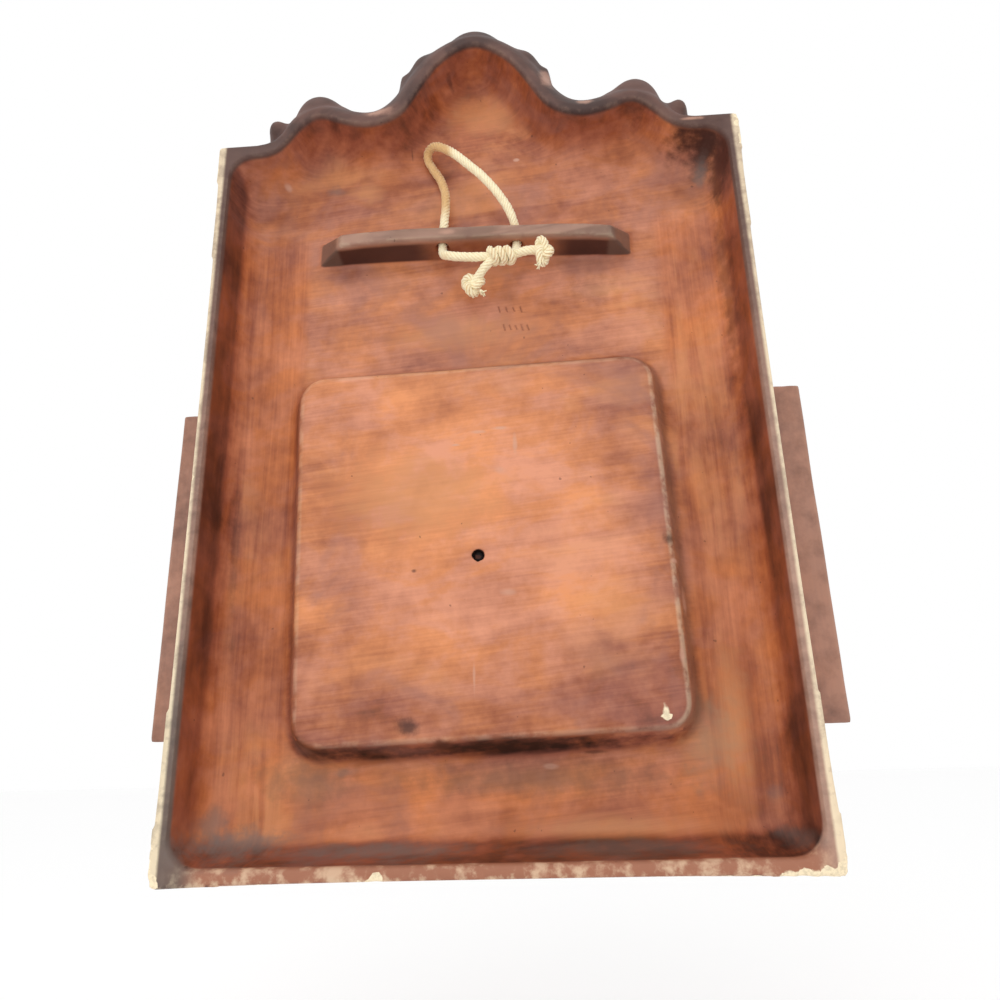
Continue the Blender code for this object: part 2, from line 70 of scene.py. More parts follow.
# Places on the casting, in metres, that the patterns and the relief follow.
PANEL_CENTRE = (0.0017, 0.1450)
PANEL_HALF = (0.0910, 0.0923)
PANEL_CORNER = 0.0125
PANEL_TURN = 0.0244
BAR_CENTRE = (0.0040, 0.3200)
ARCH_CENTRE = (0.0020, 0.3600)
PIN_HOLE = (0.0033, 0.1373)
NICHE_HALF = (0.0885, 0.0900)
NICHE_BACK = 0.0165
CREST_FOOT = 0.365
LIP_HEIGHT = 0.372

# The cord's knots, each by its middle and the end knots by their size too, and the route
# that the cord takes through the bar.
MAIN_KNOT = (-0.0122, -0.0125, 0.3028)
RIGHT_END_KNOT = ((-0.0351, -0.0080, 0.3010), (0.0110, 0.0100, 0.0180))
LEFT_END_KNOT = ((0.0041, -0.0200, 0.2905), (0.0140, 0.0100, 0.0140))
CORD_ROUTE = (
    (-0.0351, -0.0080, 0.3010), (-0.0300, -0.0088, 0.3025), (-0.0251, -0.0100, 0.3031),
    (-0.0190, -0.0120, 0.3031), (-0.0120, -0.0125, 0.3028), (-0.0050, -0.0125, 0.3029),
    (0.0010, -0.0125, 0.3030), (0.0077, -0.0130, 0.3038), (0.0142, -0.0142, 0.3055),
    (0.0188, -0.0168, 0.3083), (0.0205, -0.0205, 0.3125), (0.0207, -0.0212, 0.3180),
    (0.0204, -0.0212, 0.3250), (0.0195, -0.0208, 0.3340), (0.0188, -0.0210, 0.3440),
    (0.0193, -0.0224, 0.3540), (0.0222, -0.0244, 0.3645), (0.0266, -0.0262, 0.3738),
    (0.0296, -0.0262, 0.3803), (0.0293, -0.0235, 0.3838), (0.0262, -0.0198, 0.3842),
    (0.0220, -0.0168, 0.3815), (0.0170, -0.0149, 0.3772), (0.0106, -0.0140, 0.3712),
    (0.0036, -0.0142, 0.3641), (-0.0033, -0.0152, 0.3570), (-0.0091, -0.0165, 0.3500),
    (-0.0144, -0.0180, 0.3421), (-0.0180, -0.0193, 0.3345), (-0.0202, -0.0208, 0.3270),
    (-0.0207, -0.0212, 0.3200), (-0.0206, -0.0207, 0.3140), (-0.0203, -0.0188, 0.3098),
    (-0.0180, -0.0162, 0.3062), (-0.0090, -0.0125, 0.3020), (-0.0054, -0.0130, 0.2990),
    (-0.0023, -0.0148, 0.2968), (0.0009, -0.0175, 0.2938), (0.0041, -0.0200, 0.2905),
)

# Chips that show the pale clay: place and radius. All lie on or beside the rim.
CHIPS = (
    ((0.1450, 0.0, 0.3770), 0.0034), ((0.1452, 0.0, 0.3600), 0.0016),
    ((-0.1452, 0.0, 0.3750), 0.0042), ((-0.1450, 0.0, 0.3690), 0.0030),
    ((-0.1450, 0.0, 0.3560), 0.0022), ((-0.1450, 0.0, 0.3480), 0.0016),
    ((0.1422, 0.0, 0.1792), 0.0018), ((0.1461, 0.0, 0.1882), 0.0012),
    ((0.1452, 0.0, -0.0020), 0.0062), ((0.1462, 0.0, 0.0060), 0.0036),
    ((0.1464, 0.0, 0.0130), 0.0030), ((0.1466, 0.0, 0.0200), 0.0024),
    ((-0.1450, 0.0, -0.0020), 0.0066), ((-0.1360, 0.0, -0.0030), 0.0050),
    ((-0.1270, 0.0, -0.0034), 0.0044), ((-0.1190, 0.0, -0.0038), 0.0032),
    ((-0.1462, 0.0, 0.0060), 0.0030), ((0.0475, 0.0, -0.0010), 0.0034),
    ((0.0540, 0.0, -0.0030), 0.0020), ((-0.0797, -0.0115, 0.0609), 0.0024),
)

# Longer worn places along the rim's outer edge: middle and half size across and up.
WORN_EDGES = (
    ((-0.1320, -0.0036), (0.0185, 0.0034)), ((-0.1464, 0.0020), (0.0026, 0.0085)),
    ((0.1462, 0.0080), (0.0024, 0.0150)), ((0.0490, -0.0032), (0.0070, 0.0026)),
    ((-0.0850, -0.0034), (0.0350, 0.0018)), ((0.1454, 0.3550), (0.0018, 0.0230)),
    ((-0.1456, 0.3630), (0.0024, 0.0160)), ((-0.0100, -0.0034), (0.0200, 0.0015)),
    ((0.1000, -0.0034), (0.0160, 0.0015)),
)

# Two rows of shallow strokes pressed into the floor: (row start x, z, row end x, z, strokes),
# their lean, half height and half width, and the patch of floor that is made fine for them.
STROKE_ROWS = (
    (-0.0095, 0.2805, -0.0215, 0.2798, 4), (-0.0120, 0.2690, -0.0250, 0.2682, 5),
)
STROKE_LEAN = 0.0004
STROKE_REACH = 0.0017
STROKE_WIDTH = 0.00055
PATCH_LOW = (-0.0300, -0.0320, 0.2620)
PATCH_HIGH = (-0.0050, -0.0270, 0.2860)

# Fixed tones beside the stain's own: the film in the corners, the crest's lobes and soot.
GREY_FILM = (0.200, 0.150, 0.130)
LOBE_DARK = (0.045, 0.020, 0.016)
LOBE_LIGHT = (0.135, 0.064, 0.050)
RIM_BROWN = (0.170, 0.085, 0.068)
RIM_SHADOW = (0.075, 0.038, 0.032)
RIM_ASH = (0.100, 0.080, 0.070)
FOOT_CREAM = (0.720, 0.500, 0.330)
SOOT = (0.060, 0.036, 0.034)

# Patches where the stain was wiped down to gold: middle, half size and softness.
WIPED_PLACES = (
    ((0.030, 0.170), (0.055, 0.030), 0.9), ((0.012, 0.268), (0.050, 0.016), 1.0),
    ((-0.1130, 0.0600), (0.0110, 0.0500), 1.0), ((-0.006, 0.412), (0.030, 0.018), 0.9),
    ((0.067, 0.3640), (0.014, 0.010), 0.9), ((-0.055, 0.012), (0.060, 0.010), 0.9),
)

# Marks on the back, each by its middle, half size and strength: dark drips and scuffs, pale
# scuffs, and smears of the grey film.
DARK_MARKS = (
    ((-0.0870, 0.1418), (0.0040, 0.0050), 0.85), ((0.0364, 0.0590), (0.0075, 0.0060), 0.8),
    ((0.0213, 0.0513), (0.0060, 0.0030), 0.8), ((0.0342, 0.1307), (0.0016, 0.0012), 0.7),
    ((0.0010, 0.4440), (0.0260, 0.0045), 0.60), ((0.0150, 0.4270), (0.0022, 0.0026), 0.5),
    ((0.0661, 0.3950), (0.0180, 0.0065), 0.7), ((0.0900, 0.3985), (0.0160, 0.0060), 0.5),
    ((-0.0960, 0.3915), (0.0200, 0.0080), 0.5), ((-0.1180, 0.3715), (0.0150, 0.0078), 1.00),
    ((-0.1285, 0.3665), (0.0115, 0.0130), 1.00), ((-0.1345, 0.3520), (0.0060, 0.0280), 0.70),
    ((0.0392, 0.3850), (0.0007, 0.0040), 0.5), ((-0.0473, 0.0463), (0.0080, 0.0012), 0.6),
    ((-0.1330, 0.2800), (0.0040, 0.0700), 0.45), ((-0.0620, 0.2900), (0.0160, 0.0100), 0.25),
    ((0.1290, 0.1500), (0.0030, 0.0400), 0.35),
)
PALE_MARKS = (
    ((-0.0893, 0.1311), (0.0026, 0.0016), 0.7), ((-0.0934, 0.1120), (0.0022, 0.0080), 0.6),
    ((-0.0887, 0.0872), (0.0020, 0.0060), 0.6), ((0.0022, 0.2005), (0.0050, 0.0012), 0.6),
    ((-0.0089, 0.2021), (0.0060, 0.0016), 0.7), ((-0.0160, 0.1930), (0.0016, 0.0070), 0.6),
    ((-0.0083, 0.1798), (0.0040, 0.0030), 0.35), ((0.0139, 0.1941), (0.0030, 0.0009), 0.7),
    ((-0.0104, 0.1189), (0.0050, 0.0024), 0.5), ((0.0062, 0.0800), (0.0009, 0.0100), 0.5),
    ((0.0540, 0.3950), (0.0130, 0.0060), 0.6), ((-0.0414, 0.4122), (0.0050, 0.0110), 0.6),
    ((-0.0622, 0.3926), (0.0060, 0.0040), 0.55), ((0.1120, 0.3663), (0.0030, 0.0022), 0.7),
    ((-0.0221, 0.3803), (0.0022, 0.0014), 0.9), ((0.0173, 0.3204), (0.0070, 0.0024), 0.45),
    ((-0.1190, 0.3740), (0.0080, 0.0016), 0.6), ((-0.0270, 0.0405), (0.0050, 0.0016), 0.4),
)
SMEARS = (
    ((0.0849, 0.3658), (0.0070, 0.0050), 0.45), ((-0.1269, 0.3580), (0.0050, 0.0090), 0.55),
    ((-0.1302, 0.0104), (0.0090, 0.0060), 0.35), ((-0.1261, 0.0260), (0.0050, 0.0050), 0.3),
    ((0.1150, 0.0110), (0.0300, 0.0095), 0.80), ((0.1290, 0.0170), (0.0100, 0.0140), 0.55),
    ((0.0500, 0.0075), (0.0600, 0.0040), 0.70),
    ((-0.0600, 0.0070), (0.0600, 0.0036), 0.40), ((0.0700, 0.0400), (0.0080, 0.0030), 0.35),
)


class CastingSettings(bpy.types.PropertyGroup):
    """Sizes and colours of the stained casting."""

    fineness: FloatProperty(
        name="Mesh fineness", description="Edge length of the even mesh before it is thinned",
        default=0.0012, min=0.0008, max=0.0040, precision=4, unit="LENGTH",
    )
    triangles: IntProperty(
        name="Triangles", description="How many triangles the thinned casting keeps",
        default=150000, min=20000, max=180000,
    )
    unevenness: FloatProperty(
        name="Unevenness", description="How far the hand-finished clay rises and falls",
        default=0.00045, min=0.0, max=0.002, precision=5, unit="LENGTH",
    )
    stroke_depth: FloatProperty(
        name="Stroke depth", description="Depth of the rows of pressed strokes",
        default=0.00045, min=0.0, max=0.002, precision=5, unit="LENGTH",
    )
    amber: FloatVectorProperty(
        name="Amber stain", description="Where the stain is thin", subtype="COLOR",
        size=3, default=(0.500, 0.192, 0.105), min=0.0, max=1.0,
    )
    chestnut: FloatVectorProperty(
        name="Chestnut stain", description="The stain's middle tone", subtype="COLOR",
        size=3, default=(0.300, 0.095, 0.055), min=0.0, max=1.0,
    )
    umber: FloatVectorProperty(
        name="Umber stain", description="Where the stain has pooled", subtype="COLOR",
        size=3, default=(0.100, 0.030, 0.019), min=0.0, max=1.0,
    )
    plum: FloatVectorProperty(
        name="Plum shadow", description="The cool patches left by a second coat",
        subtype="COLOR", size=3, default=(0.290, 0.125, 0.100), min=0.0, max=1.0,
    )
    olive: FloatVectorProperty(
        name="Olive film", description="The greyish film of old varnish and dust",
        subtype="COLOR", size=3, default=(0.170, 0.105, 0.062), min=0.0, max=1.0,
    )
    bisque: FloatVectorProperty(
        name="Bisque", description="Bare clay in the chips and on the worn edges",
        subtype="COLOR", size=3, default=(0.930, 0.780, 0.540), min=0.0, max=1.0,
    )
    rim: FloatVectorProperty(
        name="Rim", description="The worn, greyish stain on the rim", subtype="COLOR",
        size=3, default=(0.330, 0.195, 0.145), min=0.0, max=1.0,
    )
    gold: FloatVectorProperty(
        name="Gold", description="The warm patches where the stain was wiped thin",
        subtype="COLOR", size=3, default=(0.660, 0.290, 0.120), min=0.0, max=1.0,
    )


class CordSettings(bpy.types.PropertyGroup):
    """Sizes and colours of the cotton cord."""

    diameter: FloatProperty(
        name="Diameter", description="Diameter of the twisted cord",
        default=0.0050, min=0.002, max=0.010, precision=4, unit="LENGTH",
    )
    strands: IntProperty(
        name="Strands", description="How many strands are twisted together",
        default=6, min=3, max=8,
    )
    lay: FloatProperty(
        name="Lay length", description="Length of cord in which a strand goes once round",
        default=0.0130, min=0.006, max=0.040, precision=4, unit="LENGTH",
    )
    fuzz: FloatProperty(
        name="Fuzz", description="How far the fibres stray from even strands",
        default=0.00030, min=0.0, max=0.001, precision=5, unit="LENGTH",
    )
    cotton: FloatVectorProperty(
        name="Cotton", description="The clean cotton", subtype="COLOR",
        size=3, default=(0.970, 0.870, 0.590), min=0.0, max=1.0,
    )
    # This colour also serves as painted shade between the strands and on the loop's leg.
    soiled_and_shaded: FloatVectorProperty(
        name="Soiled cotton", description="Cotton that stain and handling have darkened",
        subtype="COLOR", size=3, default=(0.700, 0.430, 0.180), min=0.0, max=1.0,
    )


class StageSettings(bpy.types.PropertyGroup):
    """The floor, the lights and the camera."""

    lens: FloatProperty(
        name="Lens", description="Focal length on a 36 mm sensor", default=27.47,
        min=10.0, max=200.0, unit="CAMERA",
    )
    camera_place: FloatVectorProperty(
        name="Camera place", description="Where the camera stands", size=3,
        default=(-0.02669, 0.34274, 0.05412), subtype="TRANSLATION", unit="LENGTH",
    )
    camera_aim: FloatVectorProperty(
        name="Camera aim", description="The direction that the camera looks in", size=3,
        default=(0.050615, -0.953793, 0.296172), subtype="DIRECTION",
    )
    camera_up: FloatVectorProperty(
        name="Camera up", description="The direction of the top of the image", size=3,
        default=(-0.043805, 0.294146, 0.954756), subtype="DIRECTION",
    )
    floor_drop: FloatProperty(
        name="Floor drop", description="How far the floor lies under the plaque",
        default=0.16, min=0.0, max=2.0, unit="LENGTH",
    )
    key_watts: FloatProperty(
        name="Key light", description="Power of the soft light over the camera",
        default=3.0, min=0.0, max=200.0, unit="POWER",
    )
    fill_watts: FloatProperty(
        name="Fill light", description="Power of the soft light at the left",
        default=1.0, min=0.0, max=200.0, unit="POWER",
    )
    sky: FloatProperty(
        name="Sky", description="Brightness of the white surroundings",
        default=1.0, min=0.0, max=5.0,
    )


class Wire:
    """The value on one socket, which Python's operators turn into Math nodes."""

    def __init__(self, finish, socket):
        self.finish = finish
        self.socket = socket

    def __add__(self, other):
        return self.finish.maths("ADD", self, other)

    def __radd__(self, other):
        return self.finish.maths("ADD", other, self)

    def __sub__(self, other):
        return self.finish.maths("SUBTRACT", self, other)

    def __rsub__(self, other):
        return self.finish.maths("SUBTRACT", other, self)

    def __mul__(self, other):
        return self.finish.maths("MULTIPLY", self, other)

    def __rmul__(self, other):
        return self.finish.maths("MULTIPLY", other, self)

    def __truediv__(self, other):
        return self.finish.maths("DIVIDE", self, other)

    def __neg__(self):
        return self.finish.maths("MULTIPLY", self, -1.0)

    def __abs__(self):
        return self.finish.maths("ABSOLUTE", self)


class Finish:
    """One material: its Principled shader and the nodes that feed it."""

    def __init__(self, name):
        self.material = bpy.data.materials.new(name)
        self.material.use_nodes = True
        self.tree = self.material.node_tree
        self.shader = self.tree.nodes["Principled BSDF"]

    def node(self, kind, settings=None, values=None, out=0):
        """Adds a node, sets it, fills its sockets with values or links, and gives an output."""
        made = self.tree.nodes.new(kind)
        for key, value in (settings or {}).items():
            if key == "stops":
                ramp = made.color_ramp
                while len(ramp.elements) < len(value):
                    ramp.elements.new(1.0)
                for element, (place, colour) in zip(ramp.elements, value):
                    element.position = place
                    element.color = (*colour, 1.0)
            else:
                setattr(made, key, value)
        for key, value in (values or {}).items():
            self.fill(made.inputs[key], value)
        return Wire(self, made.outputs[out])

    def fill(self, socket, value):
        if isinstance(value, Wire):
            self.tree.links.new(value.socket, socket)
        elif isinstance(value, (tuple, list)) and len(socket.default_value) == 4:
            socket.default_value = (*value[:3], 1.0)
        else:
            socket.default_value = value

    def maths(self, operation, *values):
        return self.node("ShaderNodeMath", {"operation": operation}, dict(enumerate(values)))

    def clamp(self, value):
        return self.node("ShaderNodeClamp", None, {0: value})

    def step(self, value, low, high):
        """0 below low, 1 above high, and smooth between; falls instead where high is lower."""
        if low > high:
            return 1 - self.step(value, high, low)
        return self.node(
            "ShaderNodeMapRange", {"interpolation_type": "SMOOTHSTEP", "clamp": True},
            {"Value": value, "From Min": low, "From Max": high},
        )

    def greater(self, a, b):
        return self.maths("MAXIMUM", a, b)

    def lesser(self, a, b):
        return self.maths("MINIMUM", a, b)

    def blend(self, share, a, b):
        """Colour a where share is 0 and colour b where it is 1."""
        return self.node(
            "ShaderNodeMix", {"data_type": "RGBA"}, {0: share, 6: a, 7: b}, 2
        )

    def tint(self, colour, factor):
        """A colour made darker or lighter by a factor."""
        return self.node(
            "ShaderNodeVectorMath", {"operation": "SCALE"}, {0: colour, "Scale": factor}
        )

    def places(self):
        return self.node("ShaderNodeTexCoord", None, None, "Object")

    def attribute(self, name, out="Fac"):
        return self.node("ShaderNodeAttribute", {"attribute_name": name}, None, out)

    def split(self, vector):
        apart = self.node("ShaderNodeSeparateXYZ", None, {0: vector}).socket.node
        return [Wire(self, socket) for socket in apart.outputs]

    def join(self, x, y, z):
        return self.node("ShaderNodeCombineXYZ", None, {0: x, 1: y, 2: z})

    def stretch(self, vector, scale):
        return self.node(
            "ShaderNodeVectorMath", {"operation": "MULTIPLY"}, {0: vector, 1: scale}
        )

    def noise(self, vector, scale, detail=3.0, rough=0.5, twist=0.0):
        return self.node("ShaderNodeTexNoise", None, {
            "Vector": vector, "Scale": scale, "Detail": detail, "Roughness": rough,
            "Distortion": twist,
        })

    def set(self, **values):
        """Fills the Principled shader's sockets, whose names have _ for a space."""
        for key, value in values.items():
            self.fill(self.shader.inputs[key.replace("_", " ")], value)

    def bump(self, height, strength, distance):
        return self.node("ShaderNodeBump", None, {
            "Height": height, "Strength": strength, "Distance": distance,
        })


def scaled(colour, *factors):
    """A colour with its red, green and blue each scaled, and held to 1."""
    return tuple(min(1.0, factor * part) for factor, part in zip(factors, colour))


def box_distance(finish, x, z, centre, half, corner, turn=0.0):
    """Distance outside a rounded rectangle turned by a small angle, negative inside it."""
    along, up = x - centre[0], z - centre[1]
    dx = abs(along - up * turn) - (half[0] - corner)
    dz = abs(up + along * turn) - (half[1] - corner)
    outside = finish.maths(
        "SQRT", finish.greater(dx, 0.0) * finish.greater(dx, 0.0)
        + finish.greater(dz, 0.0) * finish.greater(dz, 0.0)
    )
    return outside + finish.lesser(finish.greater(dx, dz), 0.0) - corner


def spot(finish, x, z, place, size, ragged, edge=0.35):
    """A ragged patch round a place, 1 at its middle."""
    dx = (x - place[0]) / size[0]
    dz = (z - place[1]) / size[1]
    reach = finish.maths("SQRT", dx * dx + dz * dz) + ragged
    return finish.step(reach, 1.0, 1.0 - edge)


def lattice_noise(points, scale, seed):
    """Smooth values from -1 to 1 at each point, the same on every run."""
    placed = points * scale + 17.31 * seed
    cell = np.floor(placed).astype(np.int64)
    share = placed - cell
    share = share * share * (3 - 2 * share)
    total = np.zeros(len(points))
    for corner in range(8):
        bits = np.array([corner & 1, corner >> 1 & 1, corner >> 2 & 1])
        c = cell + bits
        mixed = c[:, 0] * 73856093 ^ c[:, 1] * 19349663 ^ c[:, 2] * 83492791
        mixed = (mixed ^ mixed >> 13) * 1274126177 & 0x7FFFFFFF
        value = mixed / 0x3FFFFFFF - 1
        total += value * np.prod(np.where(bits, share, 1 - share), axis=1)
    return total


def smooth_share(value, low, high):
    """0 at low and 1 at high, and smooth between; high may be the lower one."""
    share = np.clip((value - low) / (high - low), 0, 1)
    return share * share * (3 - 2 * share)


def link(piece):
    bpy.context.scene.collection.objects.link(piece)
    return piece


def freeze(piece):
    """Applies a piece's modifiers to its mesh."""
    bpy.context.view_layer.update()
    graph = bpy.context.evaluated_depsgraph_get()
    data = bpy.data.meshes.new_from_object(piece.evaluated_get(graph))
    piece.modifiers.clear()
    piece.data = data


def read(collection, name, width, kind=np.float32):
    """One row of numbers for each element of a mesh's collection."""
    flat = np.empty(width * len(collection), dtype=kind)
    collection.foreach_get(name, flat)
    return flat.reshape(-1, width)


def places_of(mesh):
    return read(mesh.vertices, "co", 3).astype(float)


def normals_of(mesh):
    return read(mesh.vertex_normals, "vector", 3).astype(float)


def move_points(mesh, places):
    mesh.vertices.foreach_set("co", places.astype(np.float32).ravel())
    mesh.update()


def store(mesh, name, values):
    layer = mesh.attributes.new(name, "FLOAT", "POINT")
    layer.data.foreach_set("value", values.astype(np.float32))


def soften(places, edges, weight, rounds):
    """Rounds off folds: each point moves towards the middle of its neighbours by its weight."""
    count = len(places)
    ends = np.concatenate([edges[:, 0], edges[:, 1]])
    others = np.concatenate([edges[:, 1], edges[:, 0]])
    degree = np.maximum(1, np.bincount(ends, minlength=count))[:, None]
    eased = places.copy()
    for _ in range(rounds):
        total = np.stack([
            np.bincount(ends, weights=eased[others, k], minlength=count) for k in range(3)
        ], axis=1)
        eased += 0.5 * weight[:, None] * (total / degree - eased)
    return eased


def bulge(places, normals, edges, rounds):
    """How far each point stands out of the surface's own smoothed form, in metres."""
    smooth = soften(places, edges, np.ones(len(places)), rounds)
    return np.einsum("ij,ij->i", places - smooth, normals)


def in_niche(x, depth, z):
    """Which points lie in the niche, in front of the raised panel."""
    across, up = np.abs(x - PANEL_CENTRE[0]), np.abs(z - PANEL_CENTRE[1])
    return (across < NICHE_HALF[0]) & (up < NICHE_HALF[1]) & (depth > NICHE_BACK)


def hand_finish(places, normals, edges):
    """Softens the hollow's folds, most of all in the crest, and rounds the crest's lip."""
    x, depth, z = places[:, 0], -places[:, 1], places[:, 2]
    back = (normals[:, 1] > -0.2) & (depth < 0.0312) & ~in_niche(x, depth, z)
    pin = np.hypot(x - PIN_HOLE[0], z - PIN_HOLE[1]) < 0.0060
    bar = (np.abs(x - BAR_CENTRE[0]) < 0.0960) & (np.abs(z - BAR_CENTRE[1]) < 0.0140)
    bar &= depth < 0.0305
    hollow = smooth_share(depth, 0.0050, 0.0110) * (back & ~pin & ~bar)
    eased = soften(places, edges, hollow, 14)
    crest = smooth_share(z, 0.350, 0.370) * smooth_share(depth, 0.0040, 0.0120) * back
    eased = soften(eased, edges, crest, 70)
    lip = smooth_share(z, LIP_HEIGHT, 0.380) * smooth_share(depth, 0.0065, 0.0040)
    return soften(eased, edges, lip, 5)


def relief(places, normals, settings):
    """Moves the dense mesh's points: hand-finished clay, tool marks along the walls, chips."""
    x, depth, z = places[:, 0], -places[:, 1], places[:, 2]
    behind = smooth_share(normals[:, 1], -0.1, 0.3) * smooth_share(depth, 0.0015, 0.0050)
    wave = 0.65 * lattice_noise(places, 22.0, 1) + 0.35 * lattice_noise(places, 60.0, 2)
    drag = 0.5 * lattice_noise(places * (30.0, 30.0, 3.0), 9.0, 3)
    sides = smooth_share(np.abs(x), 0.100, 0.110) * smooth_share(depth, 0.018, 0.026)
    lift = settings.unevenness * (wave + 0.6 * sides * drag) * (0.25 + 0.75 * behind)
    ridge = np.exp(-((np.abs(x) - 0.1262) / 0.0016) ** 2) * smooth_share(depth, 0.024, 0.028)
    ridge *= (0.7 + 0.5 * lattice_noise(places, 30.0, 4)) * (z < 0.345)
    lift += 0.5 * settings.unevenness * ridge
    flat = smooth_share(depth, 0.0002, 0.0020)
    moved = places + normals * (lift * flat)[:, None]

    bare = np.zeros(len(places))
    rough = 0.6 * lattice_noise(places, 420.0, 5) + 0.4 * lattice_noise(places, 900.0, 6)
    for place, radius in CHIPS:
        offset = moved - np.array(place)
        share = 1 - np.linalg.norm(offset, axis=1) / radius + 0.35 * rough
        share = np.clip(share, 0, 1)
        bare = np.maximum(bare, np.clip(share * 3.0, 0, 1))
        if place[1] == 0.0:
            rise = 0.30 if place[2] < 0.02 else 0.0
            inwards = np.array((-0.45 * np.sign(place[0]), -0.85, rise))
            moved += (0.28 * radius * share)[:, None] * inwards
    edge = (depth < 0.0008) & (np.abs(normals[:, 1]) < 0.93)
    nibble = np.clip(rough - 0.35, 0, 1) * edge
    moved[:, 1] -= 0.0006 * nibble
    low, high = np.array(CAD_BOX[0]), np.array(CAD_BOX[1])
    return np.clip(moved, low, high), bare


def shape_masks(places, normals, edges):
    """Shares for the stain and its painted shade: hollows, walls, the rim's two edges, the
    outside.
    """
    x, depth, z = places[:, 0], -places[:, 1], places[:, 2]
    worn = np.clip(bulge(places, normals, edges, 3) / 0.0006, 0, 1)
    # How deep a point lies in a concave crease, where the stain gets painted shade.
    pool = np.clip(-bulge(places, normals, edges, 24) / 0.0012, 0, 1)
    side = np.sign(x) * normals[:, 0] * (np.abs(x) > 0.130) * (z < 0.376)
    up = normals[:, 2] * (z > CREST_FOOT)
    down = -normals[:, 2] * (z < 0.008)
    outward = np.where(np.abs(up) > np.abs(side), up, side)
    outward = np.where(np.abs(down) > np.abs(outward), down, outward)
    front = (normals[:, 1] < -0.25) | (depth > 0.0325) | in_niche(x, depth, z)
    front = (front | (outward > 0.6)) & (depth > 0.0030)
    rim = (depth < 0.0030) * worn
    # The lobes beyond the rim's own outline, whose height is found in columns 2 mm wide.
    count, width, first = 150, 0.0020, -0.1500
    columns = np.clip(((x - first) / width).astype(int), 0, count - 1)
    middles = first + width * (np.arange(count) + 0.5)
    high = np.full(count, -1.0)
    on_top = (depth < 0.0010) & (z > 0.360)
    np.maximum.at(high, columns[on_top], z[on_top])
    beyond = smooth_share(z - np.interp(x, middles, high), -0.0012, 0.0008)
    beyond *= (z > CREST_FOOT) & (depth > 0.0012)
    beyond *= smooth_share(normals[:, 1], -0.75, -0.45)
    return {
        "pool": pool,
        "steep": smooth_share(np.abs(normals[:, 1]), 0.92, 0.45),
        "edge": worn,
        "edge_in": rim * np.clip(-outward * 2.0, 0, 1),
        "edge_out": rim * np.clip(outward * 2.0, 0, 1),
        "outside": beyond,
        "front": front.astype(float),
        "wing": ((np.abs(x) > 0.1475) & (normals[:, 1] > -0.25)).astype(float),
        # Faces turned down, which get painted shade on the bar's lower face.
        "under": smooth_share(-normals[:, 2], 0.20, 0.45),
    }


def press_strokes(mesh, depth):
    """Presses the two rows of strokes into the floor, on a mesh made fine enough there."""
    pressed = mesh.verts.layers.float.new("pressed")

    def in_patch(place):
        return all(low < part < high for low, part, high in zip(PATCH_LOW, place, PATCH_HIGH))

    for limit in (0.0016, 0.0010, 0.0006, 0.0004):
        inside = {v for v in mesh.verts if in_patch(v.co)}
        long = [e for e in mesh.edges
                if e.verts[0] in inside and e.verts[1] in inside and e.calc_length() > limit]
        bmesh.ops.subdivide_edges(mesh, edges=long, cuts=1, use_grid_fill=True)
        many = [f for f in mesh.faces if len(f.verts) > 3]
        bmesh.ops.triangulate(mesh, faces=many)
    strokes = []
    for x0, z0, x1, z1, count in STROKE_ROWS:
        for i in range(count):
            share = i / (count - 1)
            x = x0 + (x1 - x0) * share
            z = z0 + (z1 - z0) * share
            half = Vector((STROKE_LEAN, 0, STROKE_REACH - 0.0003 * (i % 3)))
            middle = Vector((x, 0, z))
            strokes.append((middle - half, middle + half))
    for v in (v for v in mesh.verts if in_patch(v.co)):
        near = 1.0
        for a, b in strokes:
            run = b - a
            flat = Vector((v.co.x, 0, v.co.z))
            t = max(0.0, min(1.0, (flat - a).dot(run) / run.length_squared))
            near = min(near, (flat - a - run * t).length)
        press = max(0.0, 1 - near / STROKE_WIDTH)
        v.co.y -= depth * press * (2 - press)
        v[pressed] = press


